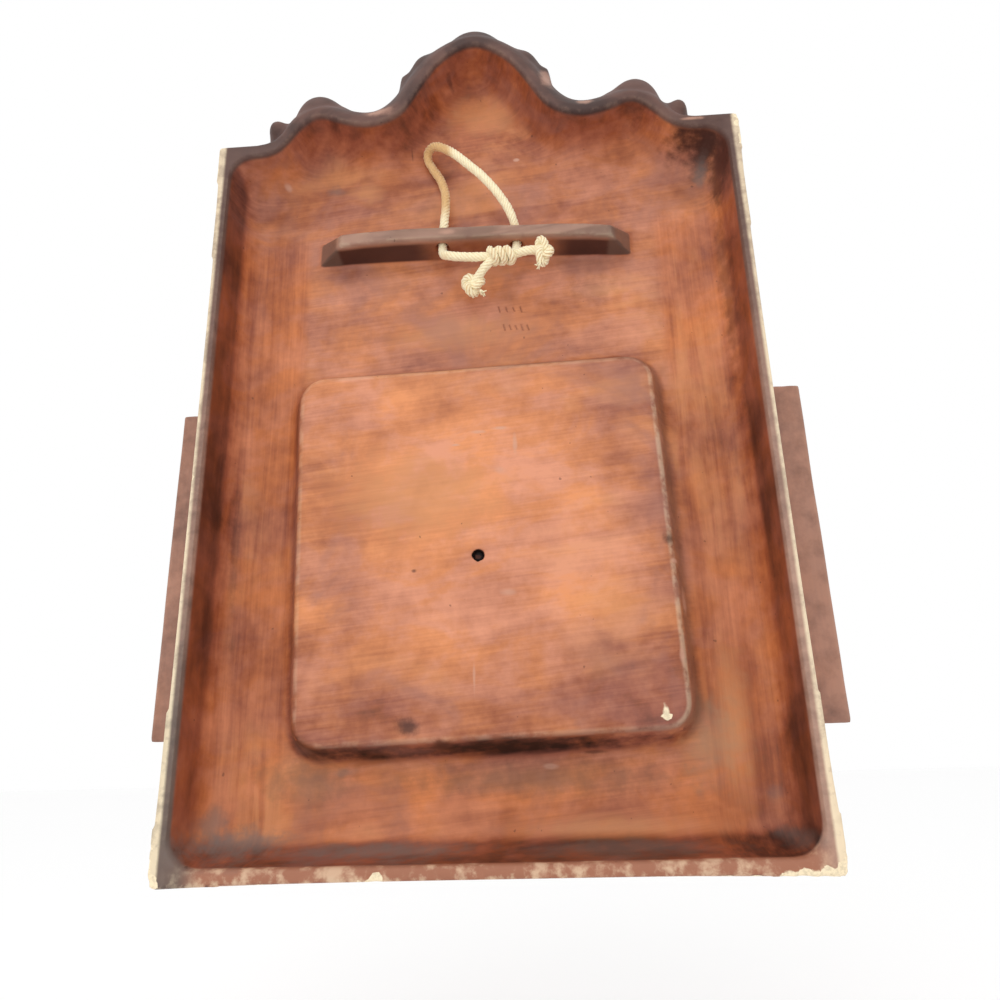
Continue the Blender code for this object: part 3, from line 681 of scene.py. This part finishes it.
def stained_ceramic(settings):
    """Brown stain: brushed streaks, worn rims, old marks; painted shade in corners, painted
    highlights.
    """
    f = Finish("Stained ceramic")
    amber, chestnut, umber = tuple(settings.amber), tuple(settings.chestnut), tuple(settings.umber)
    plum, olive, gold = tuple(settings.plum), tuple(settings.olive), tuple(settings.gold)
    bisque, rim = tuple(settings.bisque), tuple(settings.rim)
    night = scaled(umber, 0.22, 0.22, 0.22)
    where = f.places()
    x, y, z = f.split(where)
    depth = -y
    across = abs(x)

    # Where on the back a point lies, each as a share from 0 to 1.
    back = 1 - f.attribute("front")
    inside = f.step(depth, 0.0004, 0.0022) * back
    steep, pool, worn = f.attribute("steep"), f.attribute("pool"), f.attribute("edge")
    channel = f.step(across, 0.0950, 0.1030) * f.step(z, 0.345, 0.320)
    side_wall = f.step(across, 0.1322, 0.1352) * f.step(depth, 0.0250, 0.0170) * inside
    cove = f.step(across, 0.1220, 0.1300) * f.step(depth, 0.0310, 0.0270) * inside
    foot_wall = f.step(z, 0.0170, 0.0080) * f.step(depth, 0.0300, 0.0240) * inside
    arch = f.step(z, 0.366, 0.392)
    arch_wall_shade = arch * steep * inside
    panel = box_distance(f, x, z, PANEL_CENTRE, PANEL_HALF, PANEL_CORNER, PANEL_TURN)
    on_panel = f.step(panel, 0.0010, -0.0010) * f.step(depth, 0.0160, 0.0130) * back
    bar = f.step(abs(z - 0.3191), 0.0112, 0.0100) * f.step(depth, 0.0290, 0.0275)
    bar = bar * f.step(abs(x - BAR_CENTRE[0]), 0.0915, 0.0905)

    # Brush strokes: a little aslant on the floor, upright in the channels, round the arch.
    cloud = f.noise(where, 26.0, 4.0, 0.55, 0.4)
    wide = f.noise(where, 11.0, 3.0, 0.5, 0.5)
    fine = f.noise(where, 130.0, 4.0, 0.6)
    grain = f.noise(where, 700.0, 2.0, 0.6)
    aslant = f.join(x, y, z + x * 0.105)
    level = f.noise(f.stretch(aslant, (13.0, 50.0, 62.0)), 1.0, 3.0, 0.55, 0.5)
    hairs = f.noise(f.stretch(aslant, (22.0, 90.0, 640.0)), 1.0, 3.0, 0.6, 0.1)
    plumb = f.noise(f.stretch(where, (640.0, 90.0, 22.0)), 1.0, 3.0, 0.6, 0.1)
    hairs = hairs + (plumb - hairs) * channel
    upright = f.noise(f.stretch(where, (90.0, 60.0, 12.0)), 1.0, 4.0, 0.58, 0.4)
    dx, dz = x - ARCH_CENTRE[0], z - ARCH_CENTRE[1]
    turn = f.maths("ARCTAN2", dx, dz)
    reach = f.maths("SQRT", dx * dx + dz * dz)
    arcs = f.noise(f.join(turn * 2.2, reach * 80.0, depth * 30.0), 1.0, 4.0, 0.58, 0.3)
    stroke = level + (upright - level) * channel
    stroke = stroke + (arcs - stroke) * arch
    ragged = (fine - 0.5) * 1.3 + (cloud - 0.5) * 0.6

    # Thin and light on the boss and the open floor, darker on the walls; painted shade in the
    # hollows and crest.
    tone = 0.68 + (stroke - 0.5) * (0.50 - side_wall * 0.30) + (cloud - 0.5) * 0.62
    tone = tone + (wide - 0.5) * 0.45 + (fine - 0.5) * 0.36 + (hairs - 0.5) * 0.26
    # The front is a little darker, and painted shade darkens its creases further.
    tone = tone - (1 - back) * (0.04 + pool * 0.25)
    middle = box_distance(f, x, z, (-0.006, 0.152), (0.055, 0.055), 0.040)
    tone = tone + on_panel * f.step(middle, 0.030, -0.020) * 0.16
    tone = tone - on_panel * f.step(z, 0.115, 0.070) * 0.12
    tone = tone - on_panel * f.step(x, -0.035, -0.070) * 0.16
    # Darker in the channels and towards the crest, with painted shade in the creases.
    tone = tone - channel * 0.06 - pool * 0.10 - f.step(z, 0.325, 0.350) * 0.08
    tone = tone - side_wall * (0.25 + (fine - 0.5) * 0.16)
    tone = tone - foot_wall * 0.36
    # Painted shade on the crest's steep walls, and on its walls near the lip, more away from the
    # middle.
    tone = tone - cove * 0.04 - arch_wall_shade * 0.07
    tone = tone - arch * inside * f.step(depth, 0.0210, 0.0070) * (
        0.09 + f.step(abs(x - 0.0020), 0.030, 0.060) * 0.08 + (cloud - 0.5) * 0.3
    )

    # The groove round the boss, painted shade: soft above it, reddish and dark beside it, black
    # beneath it.
    near = f.step(abs(panel - 0.0030), 0.0060, 0.0008) * f.step(depth, 0.0105, 0.0150) * back
    under = near * f.step(z, 0.062, 0.054)
    over = near * f.step(z, 0.232, 0.238)
    left = near * f.step(x, 0.086, 0.091) * (1 - under) * (1 - over)
    right = near * f.step(x, -0.083, -0.088) * (1 - under) * (1 - over)
    tone = tone - over * 0.20 - left * (0.24 + (fine - 0.5) * 0.5) - right * 0.16
    tone = tone - under * (0.22 + f.step(x, -0.062, -0.030) * 0.28 + (fine - 0.5) * 1.2)
    tone = f.clamp(tone)
    colour = f.node("ShaderNodeValToRGB", {"stops": (
        (0.04, night), (0.22, umber), (0.45, chestnut), (0.66, amber),
        (0.92, scaled(amber, 1.45, 1.58, 1.62)),
    )}, {"Fac": tone})

    hue = f.noise(f.stretch(aslant, (26.0, 40.0, 46.0)), 1.0, 4.0, 0.6, 0.5)
    colour = f.blend(
        f.step(hue * 0.8 + fine * 0.2, 0.41, 0.59), f.stretch(colour, (1.03, 0.93, 0.66)),
        f.stretch(colour, (0.98, 0.97, 1.00)),
    )
    clean = f.greater(f.greater(channel, f.step(z, 0.046, 0.036)), arch) * (1 - on_panel)
    colour = f.blend(clean, colour, f.stretch(colour, (1.0, 0.87, 0.70)))

    # Gold where the stain was wiped, mauve dust over the edges, olive film in the corners.
    wiped = f.step(f.noise(aslant, 15.0, 3.0, 0.5, 0.6), 0.50, 0.70) * f.step(stroke, 0.38, 0.62)
    wiped = wiped * 0.85
    for place, size, soft in WIPED_PLACES:
        wiped = f.greater(wiped, spot(f, x, z, place, size, ragged, soft))
    colour = f.blend(wiped * 0.52 * inside * (1 - steep) * (1 - near), colour, gold)
    dust = f.step(f.noise(where, 19.0, 4.0, 0.6, 0.8), 0.50, 0.68)
    dusty = f.step(middle, 0.004, 0.030) * on_panel + 0.70 * (1 - on_panel) * (1 - channel)
    colour = f.blend(f.clamp(dust * dusty) * 0.55 * inside, colour, plum)
    film = spot(f, x, z, (0.0880, 0.0370), (0.0330, 0.0150), ragged, 1.0) * 0.8
    film = f.greater(film, spot(f, x, z, (-0.0200, 0.0350), (0.0900, 0.0100), ragged, 1.0) * 0.7)
    film = f.greater(film, over * 0.75)
    film = f.greater(film, right * 0.60)
    colour = f.blend(f.clamp(film) * 0.60 * back, colour, olive)
    haze = spot(f, x, z, (-0.1010, 0.0500), (0.0200, 0.0260), ragged, 1.0)
    colour = f.blend(haze * 0.50 * back, colour, f.tint(olive, 2.3))

    # The bar: grey-brown ridge and end facets, and painted shade that makes its lower face nearly
    # black.
    ridge = bar * f.step(depth, 0.0180, 0.0140)
    lower_face_shade = bar * f.attribute("under") * (1 - ridge)
    ends = bar * f.step(abs(x - BAR_CENTRE[0]), 0.0735, 0.0765)
    warm = f.step(abs(x + 0.0070), 0.0450, 0.0250)
    colour = f.blend(lower_face_shade * (0.97 - warm * 0.62), colour, f.blend(cloud, night, umber))
    colour = f.blend(ends * 0.75, colour, f.tint(rim, 0.42))
    ridge_colour = f.blend(f.step(level, 0.42, 0.60), f.tint(rim, 0.55), f.tint(rim, 1.0))
    colour = f.blend(ridge * 0.90, colour, ridge_colour)

    # The rim: greyish brown, darker up the sides and darkest round the crest.
    on_rim = f.step(depth, 0.0042, 0.0016)
    lobes = f.greater(f.step(z, 0.3700, 0.3820), f.attribute("outside"))
    height = f.step(z, 0.080, 0.360)
    rim_tone = 0.50 + (cloud - 0.5) * 1.3 + (fine - 0.5) * 1.8 + f.step(x, 0.05, -0.12) * 0.25
    rim_colour = f.blend(f.clamp(rim_tone), f.tint(rim, 0.50), f.tint(rim, 1.35))
    rim_colour = f.blend(height * 0.60, rim_colour, RIM_BROWN)
    inner = f.step(across, 0.1420, 0.1392) * f.step(z, 0.180, 0.330)
    rim_colour = f.blend(inner * 0.75, rim_colour, RIM_SHADOW)
    foot_rim = f.step(z, 0.0120, 0.0060) * f.step(across, 0.1420, 0.1300)
    rim_colour = f.blend(foot_rim * 0.90, rim_colour, f.tint(amber, 0.72))
    mottle = foot_rim * f.step(fine * 0.6 + cloud * 0.4, 0.47, 0.62)
    rim_colour = f.blend(mottle * 0.70, rim_colour, FOOT_CREAM)
    ash = f.step(x, 0.1200, 0.1320) * f.step(z, 0.1500, 0.0600)
    rim_colour = f.blend(ash * 0.80, rim_colour, RIM_ASH)
    lobe_colour = f.blend(f.step(cloud, 0.38, 0.64), LOBE_DARK, LOBE_LIGHT)
    rim_colour = f.blend(lobes * 0.92, rim_colour, lobe_colour)
    sooty = f.step(z, -0.0010, -0.0026) * f.step(fine, 0.53, 0.45)
    rim_colour = f.blend(sooty * 0.80, rim_colour, SOOT)
    colour = f.blend(f.greater(on_rim, lobes * f.attribute("outside")), colour, rim_colour)
    wings = f.attribute("wing")
    wing_colour = f.blend(f.clamp(rim_tone), f.tint(rim, 0.55), f.tint(rim, 1.20))
    colour = f.blend(wings * 0.8, colour, wing_colour)

    # Worn edges: a cream line down the outer sides; the crest lip's thin light line is wear and
    # painted highlight.
    broken = f.step(fine * 0.7 + cloud * 0.5, 0.50, 0.66)
    speckle = f.step(f.noise(where, 430.0, 2.0, 0.6), 0.44, 0.60)
    outer = on_rim * f.step(across, 0.1394, 0.1414) * f.step(z, -0.001, 0.003)
    outer = outer * (0.90 + f.step(z, 0.300, 0.200) * 0.25)
    outer = outer * (0.55 + broken * 0.35 + speckle * 0.10)
    rub = outer + f.attribute("edge_in") * (0.4 + speckle * 0.6) * broken * 0.15
    lip = f.step(z, 0.370, 0.382) * (f.attribute("edge_in") * 0.55 + worn * 0.35) * broken
    colour = f.blend(f.clamp(lip), colour, f.tint(rim, 1.10))
    foot_line = f.attribute("edge_out") * f.step(z, 0.008, 0.002) * f.step(fine, 0.48, 0.60)
    # A painted highlight along the boss's edge, stronger at its right side, laid on in the bisque
    # colour.
    ring = f.step(abs(panel + 0.0012), 0.0022, 0.0006) * f.step(depth, 0.0155, 0.0135)
    boss_edge_highlight = ring * (0.14 + f.step(x, -0.078, -0.088) * 0.22) * (0.2 + broken * 0.8)
    rub = f.greater(f.greater(rub, foot_line * 0.75), boss_edge_highlight)
    # A painted highlight along the bar's ridge edges.
    rub = f.greater(rub, worn * ridge * broken * 0.45)
    colour = f.blend(f.clamp(rub) * 0.80, colour, bisque)

    # Marks: scuffs, dark drips, the pale worn valley beside the arch, specks.
    for marks, soft, shown, tone_of_mark in (
        (DARK_MARKS, 0.85, back * (1 - on_rim * 0.7), f.tint(umber, 0.55)),
        (PALE_MARKS, 0.80, back, scaled(amber, 1.2, 1.7, 2.2)), (SMEARS, 0.90, back, GREY_FILM),
    ):
        for place, size, share in marks:
            mark = spot(f, x, z, place, size, ragged, soft) * share * shown
            colour = f.blend(mark, colour, tone_of_mark)
    specks = f.step(f.noise(where, 330.0, 1.0, 0.4), 0.775, 0.800) * inside
    colour = f.blend(specks * 0.45, colour, f.tint(umber, 0.5))
    # Painted shade: the inside of the pin hole is painted near black.
    pin = spot(f, x, z, PIN_HOLE, (0.0036, 0.0036), (grain - 0.5) * 0.3, 0.15)
    colour = f.blend(pin * f.step(depth, 0.0122, 0.0132) * back, colour, f.tint(night, 0.4))
    colour = f.blend(f.attribute("pressed") * 0.65, colour, f.tint(umber, 1.2))
    bare = f.attribute("bare")
    chip = f.blend(f.step(grain, 0.30, 0.62), f.tint(bisque, 0.78), bisque)
    chipped = f.step(bare + (fine - 0.5) * 0.8, 0.30, 0.52)
    for place, size in WORN_EDGES:
        patch = spot(f, x, z, place, size, ragged * 1.4, 0.25)
        chipped = f.greater(chipped, patch * f.step(depth, 0.0050, 0.0030))
    colour = f.blend(chipped, colour, chip)

    shine = 0.56 + (cloud - 0.5) * 0.35 + (fine - 0.5) * 0.20
    shine = shine + on_rim * 0.06 + bare * 0.30
    rise = hairs * 0.25 + stroke * 0.40 + grain * 0.12 + fine * 0.30
    f.set(
        Base_Color=colour, Roughness=f.clamp(shine), IOR=1.42, Coat_Weight=0.0,
        Normal=f.bump(rise, 0.40, 0.00040),
    )
    return f.material


def cotton(settings):
    """Cotton: pale twisted fibres, darker where stain touched them; painted shade in grooves, on
    one leg.
    """
    f = Finish("Cotton cord")
    where = f.places()
    x, y, z = f.split(where)
    fibre = f.attribute("fibre", "Vector")
    along, turn, out = f.split(fibre)
    hairs = f.noise(f.join(along * 60.0, turn * 2.0, 0.0), 1.0, 3.0, 0.6, 0.3)
    fuzz = f.noise(where, 2600.0, 2.0, 0.6)
    cloud = f.noise(where, 60.0, 3.0, 0.5)
    dirt_and_shade = f.step(cloud + (hairs - 0.5) * 0.3, 0.56, 0.74) * 0.45
    # Painted shade on the upper part of the loop's leg at +X, added to the dirt.
    leg_shade = f.step(x, 0.012, 0.018) * f.step(z, 0.330, 0.345)
    dirt_and_shade = f.greater(dirt_and_shade, leg_shade * (0.75 + cloud * 0.5))
    colour = f.blend(f.clamp(dirt_and_shade), tuple(settings.cotton), tuple(settings.soiled_and_shaded))
    dark = tuple(0.55 * c for c in settings.soiled_and_shaded)
    # Painted shade in the grooves between the strands.
    colour = f.blend(f.step(out, 0.97, 0.80) * 0.75, colour, tuple(settings.soiled_and_shaded))
    colour = f.blend(f.step(hairs, 0.46, 0.30) * 0.25, colour, dark)
    f.set(
        Base_Color=colour, Roughness=0.92, Sheen_Weight=0.35, Sheen_Roughness=0.5,
        Subsurface_Weight=0.0, Normal=f.bump(hairs * 0.8 + fuzz * 0.3, 0.6, 0.00025),
    )
    return f.material


def floor_paper():
    """The studio's plain pale floor."""
    f = Finish("Studio floor")
    f.set(Base_Color=(0.98, 0.98, 0.98), Roughness=0.9)
    return f.material


class WALL_PLAQUE_OT_casting(bpy.types.Operator):
    """Builds the hollow-backed casting with its relief, chips and stain"""

    bl_idname = "wall_plaque.casting"
    bl_label = "Stained casting"

    def execute(self, context):
        settings = context.scene.plaque_casting
        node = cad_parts["plaque"]
        raw = bmesh.new()
        raw.from_mesh(node.data)
        bmesh.ops.remove_doubles(raw, verts=raw.verts, dist=1e-6)
        data = bpy.data.meshes.new("casting")
        raw.to_mesh(data)
        raw.free()
        casting = link(bpy.data.objects.new("casting", data))
        even = casting.modifiers.new("Even mesh", "REMESH")
        even.mode = "VOXEL"
        even.voxel_size = settings.fineness
        freeze(casting)
        mesh = casting.data
        places, edges = places_of(mesh), read(mesh.edges, "vertices", 2, np.int32)
        places = hand_finish(places, normals_of(mesh), edges)
        move_points(mesh, places)
        places, bare = relief(places, normals_of(mesh), settings)
        move_points(mesh, places)
        normals = normals_of(mesh)
        store(mesh, "bare", bare)
        for name, values in shape_masks(places, normals, edges).items():
            store(mesh, name, values)
        thin = casting.modifiers.new("Thinned", "DECIMATE")
        mesh.calc_loop_triangles()
        thin.ratio = min(1.0, settings.triangles / len(mesh.loop_triangles))
        freeze(casting)
        fine = bmesh.new()
        fine.from_mesh(casting.data)
        press_strokes(fine, settings.stroke_depth)
        fine.to_mesh(casting.data)
        fine.free()
        casting.data.shade_smooth()
        casting.data.materials.clear()
        casting.data.materials.append(stained_ceramic(settings))
        if len(casting.data.vertices) < 1000:
            raise RuntimeError("The casting came out empty")
        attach(casting, "root")
        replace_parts(casting, "plaque")
        return {"FINISHED"}


def runs_along(route):
    """How far along the route each of its points lies."""
    runs = [0.0]
    for a, b in zip(route, route[1:]):
        runs.append(runs[-1] + (b - a).length)
    return runs


def even_route(points, spacing):
    """Points at an even spacing along a smooth curve through the given points."""
    ends = [points[0]] + list(points) + [points[-1]]
    dense = []
    for i in range(1, len(ends) - 2):
        p0, p1, p2, p3 = (Vector(ends[i + k]) for k in (-1, 0, 1, 2))
        for step in range(24):
            t = step / 24
            dense.append(0.5 * (
                2 * p1 + (p2 - p0) * t + (2 * p0 - 5 * p1 + 4 * p2 - p3) * t ** 2
                + (3 * p1 - p0 - 3 * p2 + p3) * t ** 3
            ))
    dense.append(Vector(points[-1]))
    runs = runs_along(dense)
    count = max(2, round(runs[-1] / spacing))
    out, k = [], 0
    for i in range(count + 1):
        want = runs[-1] * i / count
        while k < len(runs) - 2 and runs[k + 1] < want:
            k += 1
        share = (want - runs[k]) / max(1e-9, runs[k + 1] - runs[k])
        out.append(dense[k].lerp(dense[k + 1], min(1.0, share)))
    return out


def frames_along(route):
    """Two directions across the route at each of its points, carried along without twist."""
    across = (route[1] - route[0]).orthogonal().normalized()
    frames = []
    for i, place in enumerate(route):
        ahead = (route[min(i + 1, len(route) - 1)] - route[max(i - 1, 0)]).normalized()
        across = (across - ahead * across.dot(ahead)).normalized()
        frames.append((across, ahead.cross(across)))
    return frames


def tube(mesh, fibre, route, radii, sides=10, start=0.0, spine=None, reach=1.0):
    """Adds a tube with rounded ends along a route, and notes where each point is along it."""
    rings, run = [], start
    frames = frames_along(route)
    for i, (place, radius, (a, b)) in enumerate(zip(route, radii, frames)):
        if i:
            run += (place - route[i - 1]).length
        ring = []
        for k in range(sides):
            turn = 2 * math.pi * k / sides
            v = mesh.verts.new(place + (a * math.cos(turn) + b * math.sin(turn)) * radius)
            out = (v.co - spine[i]).length / reach if spine else 1.0
            v[fibre] = Vector((run * 100, turn, out))
            ring.append(v)
        rings.append(ring)
    for low, high in zip(rings, rings[1:]):
        for k in range(sides):
            mesh.faces.new((low[k], low[k - 1], high[k - 1], high[k]))
    for ring, place, near in ((rings[0], route[0], route[1]), (rings[-1], route[-1], route[-2])):
        tip = mesh.verts.new(place + (place - near).normalized() * radii[0] * 0.5)
        tip[fibre] = Vector((run * 100, 0, 1))
        for k in range(sides):
            corners = (ring[k], ring[k - 1], tip)
            mesh.faces.new(corners if ring is rings[-1] else corners[::-1])


def rope(mesh, fibre, route, diameter, strands, lay, turn=0.0):
    """Adds a twisted rope: each strand is a tube that goes round the route."""
    radius = diameter * 0.205
    ring = diameter / 2 - radius
    frames = frames_along(route)
    runs = runs_along(route)
    for strand in range(strands):
        way = []
        for place, run, (a, b) in zip(route, runs, frames):
            angle = turn + 2 * math.pi * (strand / strands + run / lay)
            way.append(place + (a * math.cos(angle) + b * math.sin(angle)) * ring)
        tube(mesh, fibre, way, [radius] * len(way), 8, 0.37 * strand, route, diameter / 2)


def cord_piece(name, build, settings):
    """A mesh piece in cotton, built by a function that adds to an empty mesh."""
    mesh = bmesh.new()
    fibre = mesh.verts.layers.float_vector.new("fibre")
    build(mesh, fibre)
    bmesh.ops.recalc_face_normals(mesh, faces=mesh.faces)
    data = bpy.data.meshes.new(name)
    mesh.to_mesh(data)
    mesh.free()
    places = places_of(data)
    fuzz = np.stack([lattice_noise(places, 1100.0, seed) for seed in (11, 12, 13)], axis=1)
    move_points(data, places + settings.fuzz * fuzz)
    data.shade_smooth()
    piece = link(bpy.data.objects.new(name, data))
    data.materials.append(bpy.data.materials.get("Cotton cord") or cotton(settings))
    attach(piece, "root")
    return piece


def spiral(centre, reach, half, lean, turns, first):
    """The route of a cord wrapped round X: from one side of a knot to the other."""
    count = round(40 * turns)
    points = []
    for i in range(count + 1):
        share = i / count
        angle = first + 2 * math.pi * turns * share
        high = math.sin(angle)
        points.append((
            centre[0] + half * (1 - 2 * share) + lean * high,
            centre[1] + reach[0] * math.cos(angle), centre[2] + reach[1] * high,
        ))
    return even_route(points, 0.0004)


def trefoil(centre, half, tube_radius, turn):
    """A closed overhand knot that fits in a box: its half sizes, less the tube."""
    reach = [size - tube_radius for size in half]
    points = []
    for i in range(97):
        t = 2 * math.pi * i / 96
        u = (math.sin(t) + 2 * math.sin(2 * t)) / 2.7
        v = (math.cos(t) - 2 * math.cos(2 * t)) / 2.9
        w = -math.sin(3 * t)
        a, b = u * math.cos(turn) - v * math.sin(turn), u * math.sin(turn) + v * math.cos(turn)
        points.append((centre[0] + a * reach[0], centre[1] + w * reach[1] * 0.62,
                       centre[2] + b * reach[2]))
    return even_route(points, 0.0004)


GOLDEN_ANGLE = 2.399


def tuft(mesh, fibre, root, way, count, length):
    """A frayed end: thin fibres that spread as they leave the knot."""
    a = way.orthogonal().normalized()
    b = way.cross(a)
    for i in range(count):
        turn = GOLDEN_ANGLE * i
        spread = 0.55 * math.sqrt((i + 0.5) / count)
        out = a * math.cos(turn) + b * math.sin(turn)
        reach = length * (0.75 + 0.25 * math.cos(5.1 * i))
        flare = 1.1 + 0.3 * math.sin(3.7 * i)
        points = [
            root + out * 0.0013 * spread, root + (way + out * spread) * reach * 0.5,
            root + way * reach + out * reach * spread * flare,
        ]
        route = even_route(points, 0.0008)
        tube(mesh, fibre, route, [0.00030] * len(route), 5)


class WALL_PLAQUE_OT_cord(bpy.types.Operator):
    """Twists the cotton cord along its route through the bar and ties its three knots"""

    bl_idname = "wall_plaque.cord"
    bl_label = "Hanging cord"

    def execute(self, context):
        settings = context.scene.plaque_cord
        route = even_route(CORD_ROUTE, 0.0006)
        yarn = 0.84 * settings.diameter

        def build_cord(mesh, fibre):
            rope(mesh, fibre, route, settings.diameter, settings.strands, settings.lay)

        def build_main(mesh, fibre):
            way = spiral(MAIN_KNOT, (0.0036, 0.0031), 0.0066, 0.0026, 3.0, math.pi)
            rope(mesh, fibre, way, yarn, 5, 0.8 * settings.lay)

        def build_end(mesh, fibre, knot, turn, root, way, count, reach):
            centre, size = knot
            tied = trefoil(centre, [0.5 * s for s in size], yarn / 2, turn)
            rope(mesh, fibre, tied, yarn, 5, 0.8 * settings.lay)
            root = Vector(centre) + Vector(root)
            tuft(mesh, fibre, root, Vector(way).normalized(), count, reach)

        def build_right(mesh, fibre):
            build_end(mesh, fibre, RIGHT_END_KNOT, 0.5, (0.0022, 0.0008, -0.0068),
                      (0.25, 0.05, -0.95), 14, 0.0042)

        def build_left(mesh, fibre):
            build_end(mesh, fibre, LEFT_END_KNOT, 2.2, (-0.0040, 0.0010, -0.0045),
                      (-0.6, 0.15, -0.75), 12, 0.0036)

        cord = cord_piece("cord", build_cord, settings)
        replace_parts(cord, "cord_loop", "cord_tail_right", "cord_tail_left")
        for name, node, build in (
            ("main_knot", "cord_main_knot", build_main),
            ("right_end_knot", "cord_end_knot_right", build_right),
            ("left_end_knot", "cord_end_knot_left", build_left),
        ):
            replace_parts(cord_piece(name, build, settings), node)
        runs_along(route)[-1]
        if not cord.data.polygons:
            raise RuntimeError("The cord came out empty")
        return {"FINISHED"}


class WALL_PLAQUE_OT_stage(bpy.types.Operator):
    """Puts the plaque over a pale floor in soft studio light and aims the camera at its back"""

    bl_idname = "wall_plaque.stage"
    bl_label = "Stage"

    def execute(self, context):
        settings = context.scene.plaque_stage
        scene = context.scene
        mesh = bmesh.new()
        bmesh.ops.create_grid(mesh, x_segments=1, y_segments=1, size=4.0)
        data = bpy.data.meshes.new("studio_floor")
        mesh.to_mesh(data)
        mesh.free()
        floor = link(bpy.data.objects.new("studio_floor", data))
        floor.location.z = CAD_BOX[0][2] - settings.floor_drop
        data.materials.append(floor_paper())

        camera = link(bpy.data.objects.new("camera", bpy.data.cameras.new("camera")))
        camera.data.lens = settings.lens
        camera.data.sensor_width = 36.0
        camera.data.clip_start = 0.01
        aim = Vector(settings.camera_aim).normalized()
        up = Vector(settings.camera_up)
        right = aim.cross(up).normalized()
        up = right.cross(aim)
        camera.matrix_world = Matrix((
            (right.x, up.x, -aim.x, settings.camera_place[0]),
            (right.y, up.y, -aim.y, settings.camera_place[1]),
            (right.z, up.z, -aim.z, settings.camera_place[2]),
            (0.0, 0.0, 0.0, 1.0),
        ))
        scene.camera = camera

        world = bpy.data.worlds.new("studio")
        world.use_nodes = True
        world.node_tree.nodes["Background"].inputs["Color"].default_value = (1.0, 1.0, 1.0, 1.0)
        world.node_tree.nodes["Background"].inputs["Strength"].default_value = settings.sky
        scene.world = world
        middle = Vector((0.0, 0.0, 0.5 * (CAD_BOX[0][2] + CAD_BOX[1][2])))
        for name, watts, place, size in (
            ("key", settings.key_watts, (0.15, 1.10, 1.10), 0.70),
            ("fill", settings.fill_watts, (0.95, 0.90, 0.25), 0.60),
        ):
            light = bpy.data.lights.new(name, "AREA")
            light.energy = watts
            light.size = size
            lamp = link(bpy.data.objects.new(name, light))
            lamp.location = place
            lamp.rotation_mode = "QUATERNION"
            lamp.rotation_quaternion = (middle - lamp.location).to_track_quat("-Z", "Y")
        scene.view_settings.view_transform = "Standard"
        return {"FINISHED"}


class WALL_PLAQUE_PT_panel(bpy.types.Panel):
    """Lists the steps that build the plaque, with their sizes and colours"""

    bl_idname = "WALL_PLAQUE_PT_panel"
    bl_label = "Wall Plaque"
    bl_space_type = "VIEW_3D"
    bl_region_type = "UI"
    bl_category = "Wall Plaque"

    def draw(self, context):
        for operator, group in STEPS:
            box = self.layout.box()
            box.operator(operator.bl_idname)
            settings = getattr(context.scene, group)
            for name in settings.bl_rna.properties.keys():
                if name not in ("rna_type", "name"):
                    box.prop(settings, name)


STEPS = (
    (WALL_PLAQUE_OT_casting, "plaque_casting"), (WALL_PLAQUE_OT_cord, "plaque_cord"),
    (WALL_PLAQUE_OT_stage, "plaque_stage"),
)
GROUPS = (
    (CastingSettings, "plaque_casting"), (CordSettings, "plaque_cord"),
    (StageSettings, "plaque_stage"),
)


def register():
    for group, name in GROUPS:
        bpy.utils.register_class(group)
        setattr(bpy.types.Scene, name, PointerProperty(type=group))
    for operator, _ in STEPS:
        bpy.utils.register_class(operator)
    bpy.utils.register_class(WALL_PLAQUE_PT_panel)


def unregister():
    bpy.utils.unregister_class(WALL_PLAQUE_PT_panel)
    for operator, _ in reversed(STEPS):
        bpy.utils.unregister_class(operator)
    for group, name in reversed(GROUPS):
        delattr(bpy.types.Scene, name)
        bpy.utils.unregister_class(group)


def main():
    register()
    bpy.ops.wall_plaque.casting()
    bpy.ops.wall_plaque.cord()
    bpy.ops.wall_plaque.stage()
    bpy.context.view_layer.update()


if __name__ == "__main__":
    main()
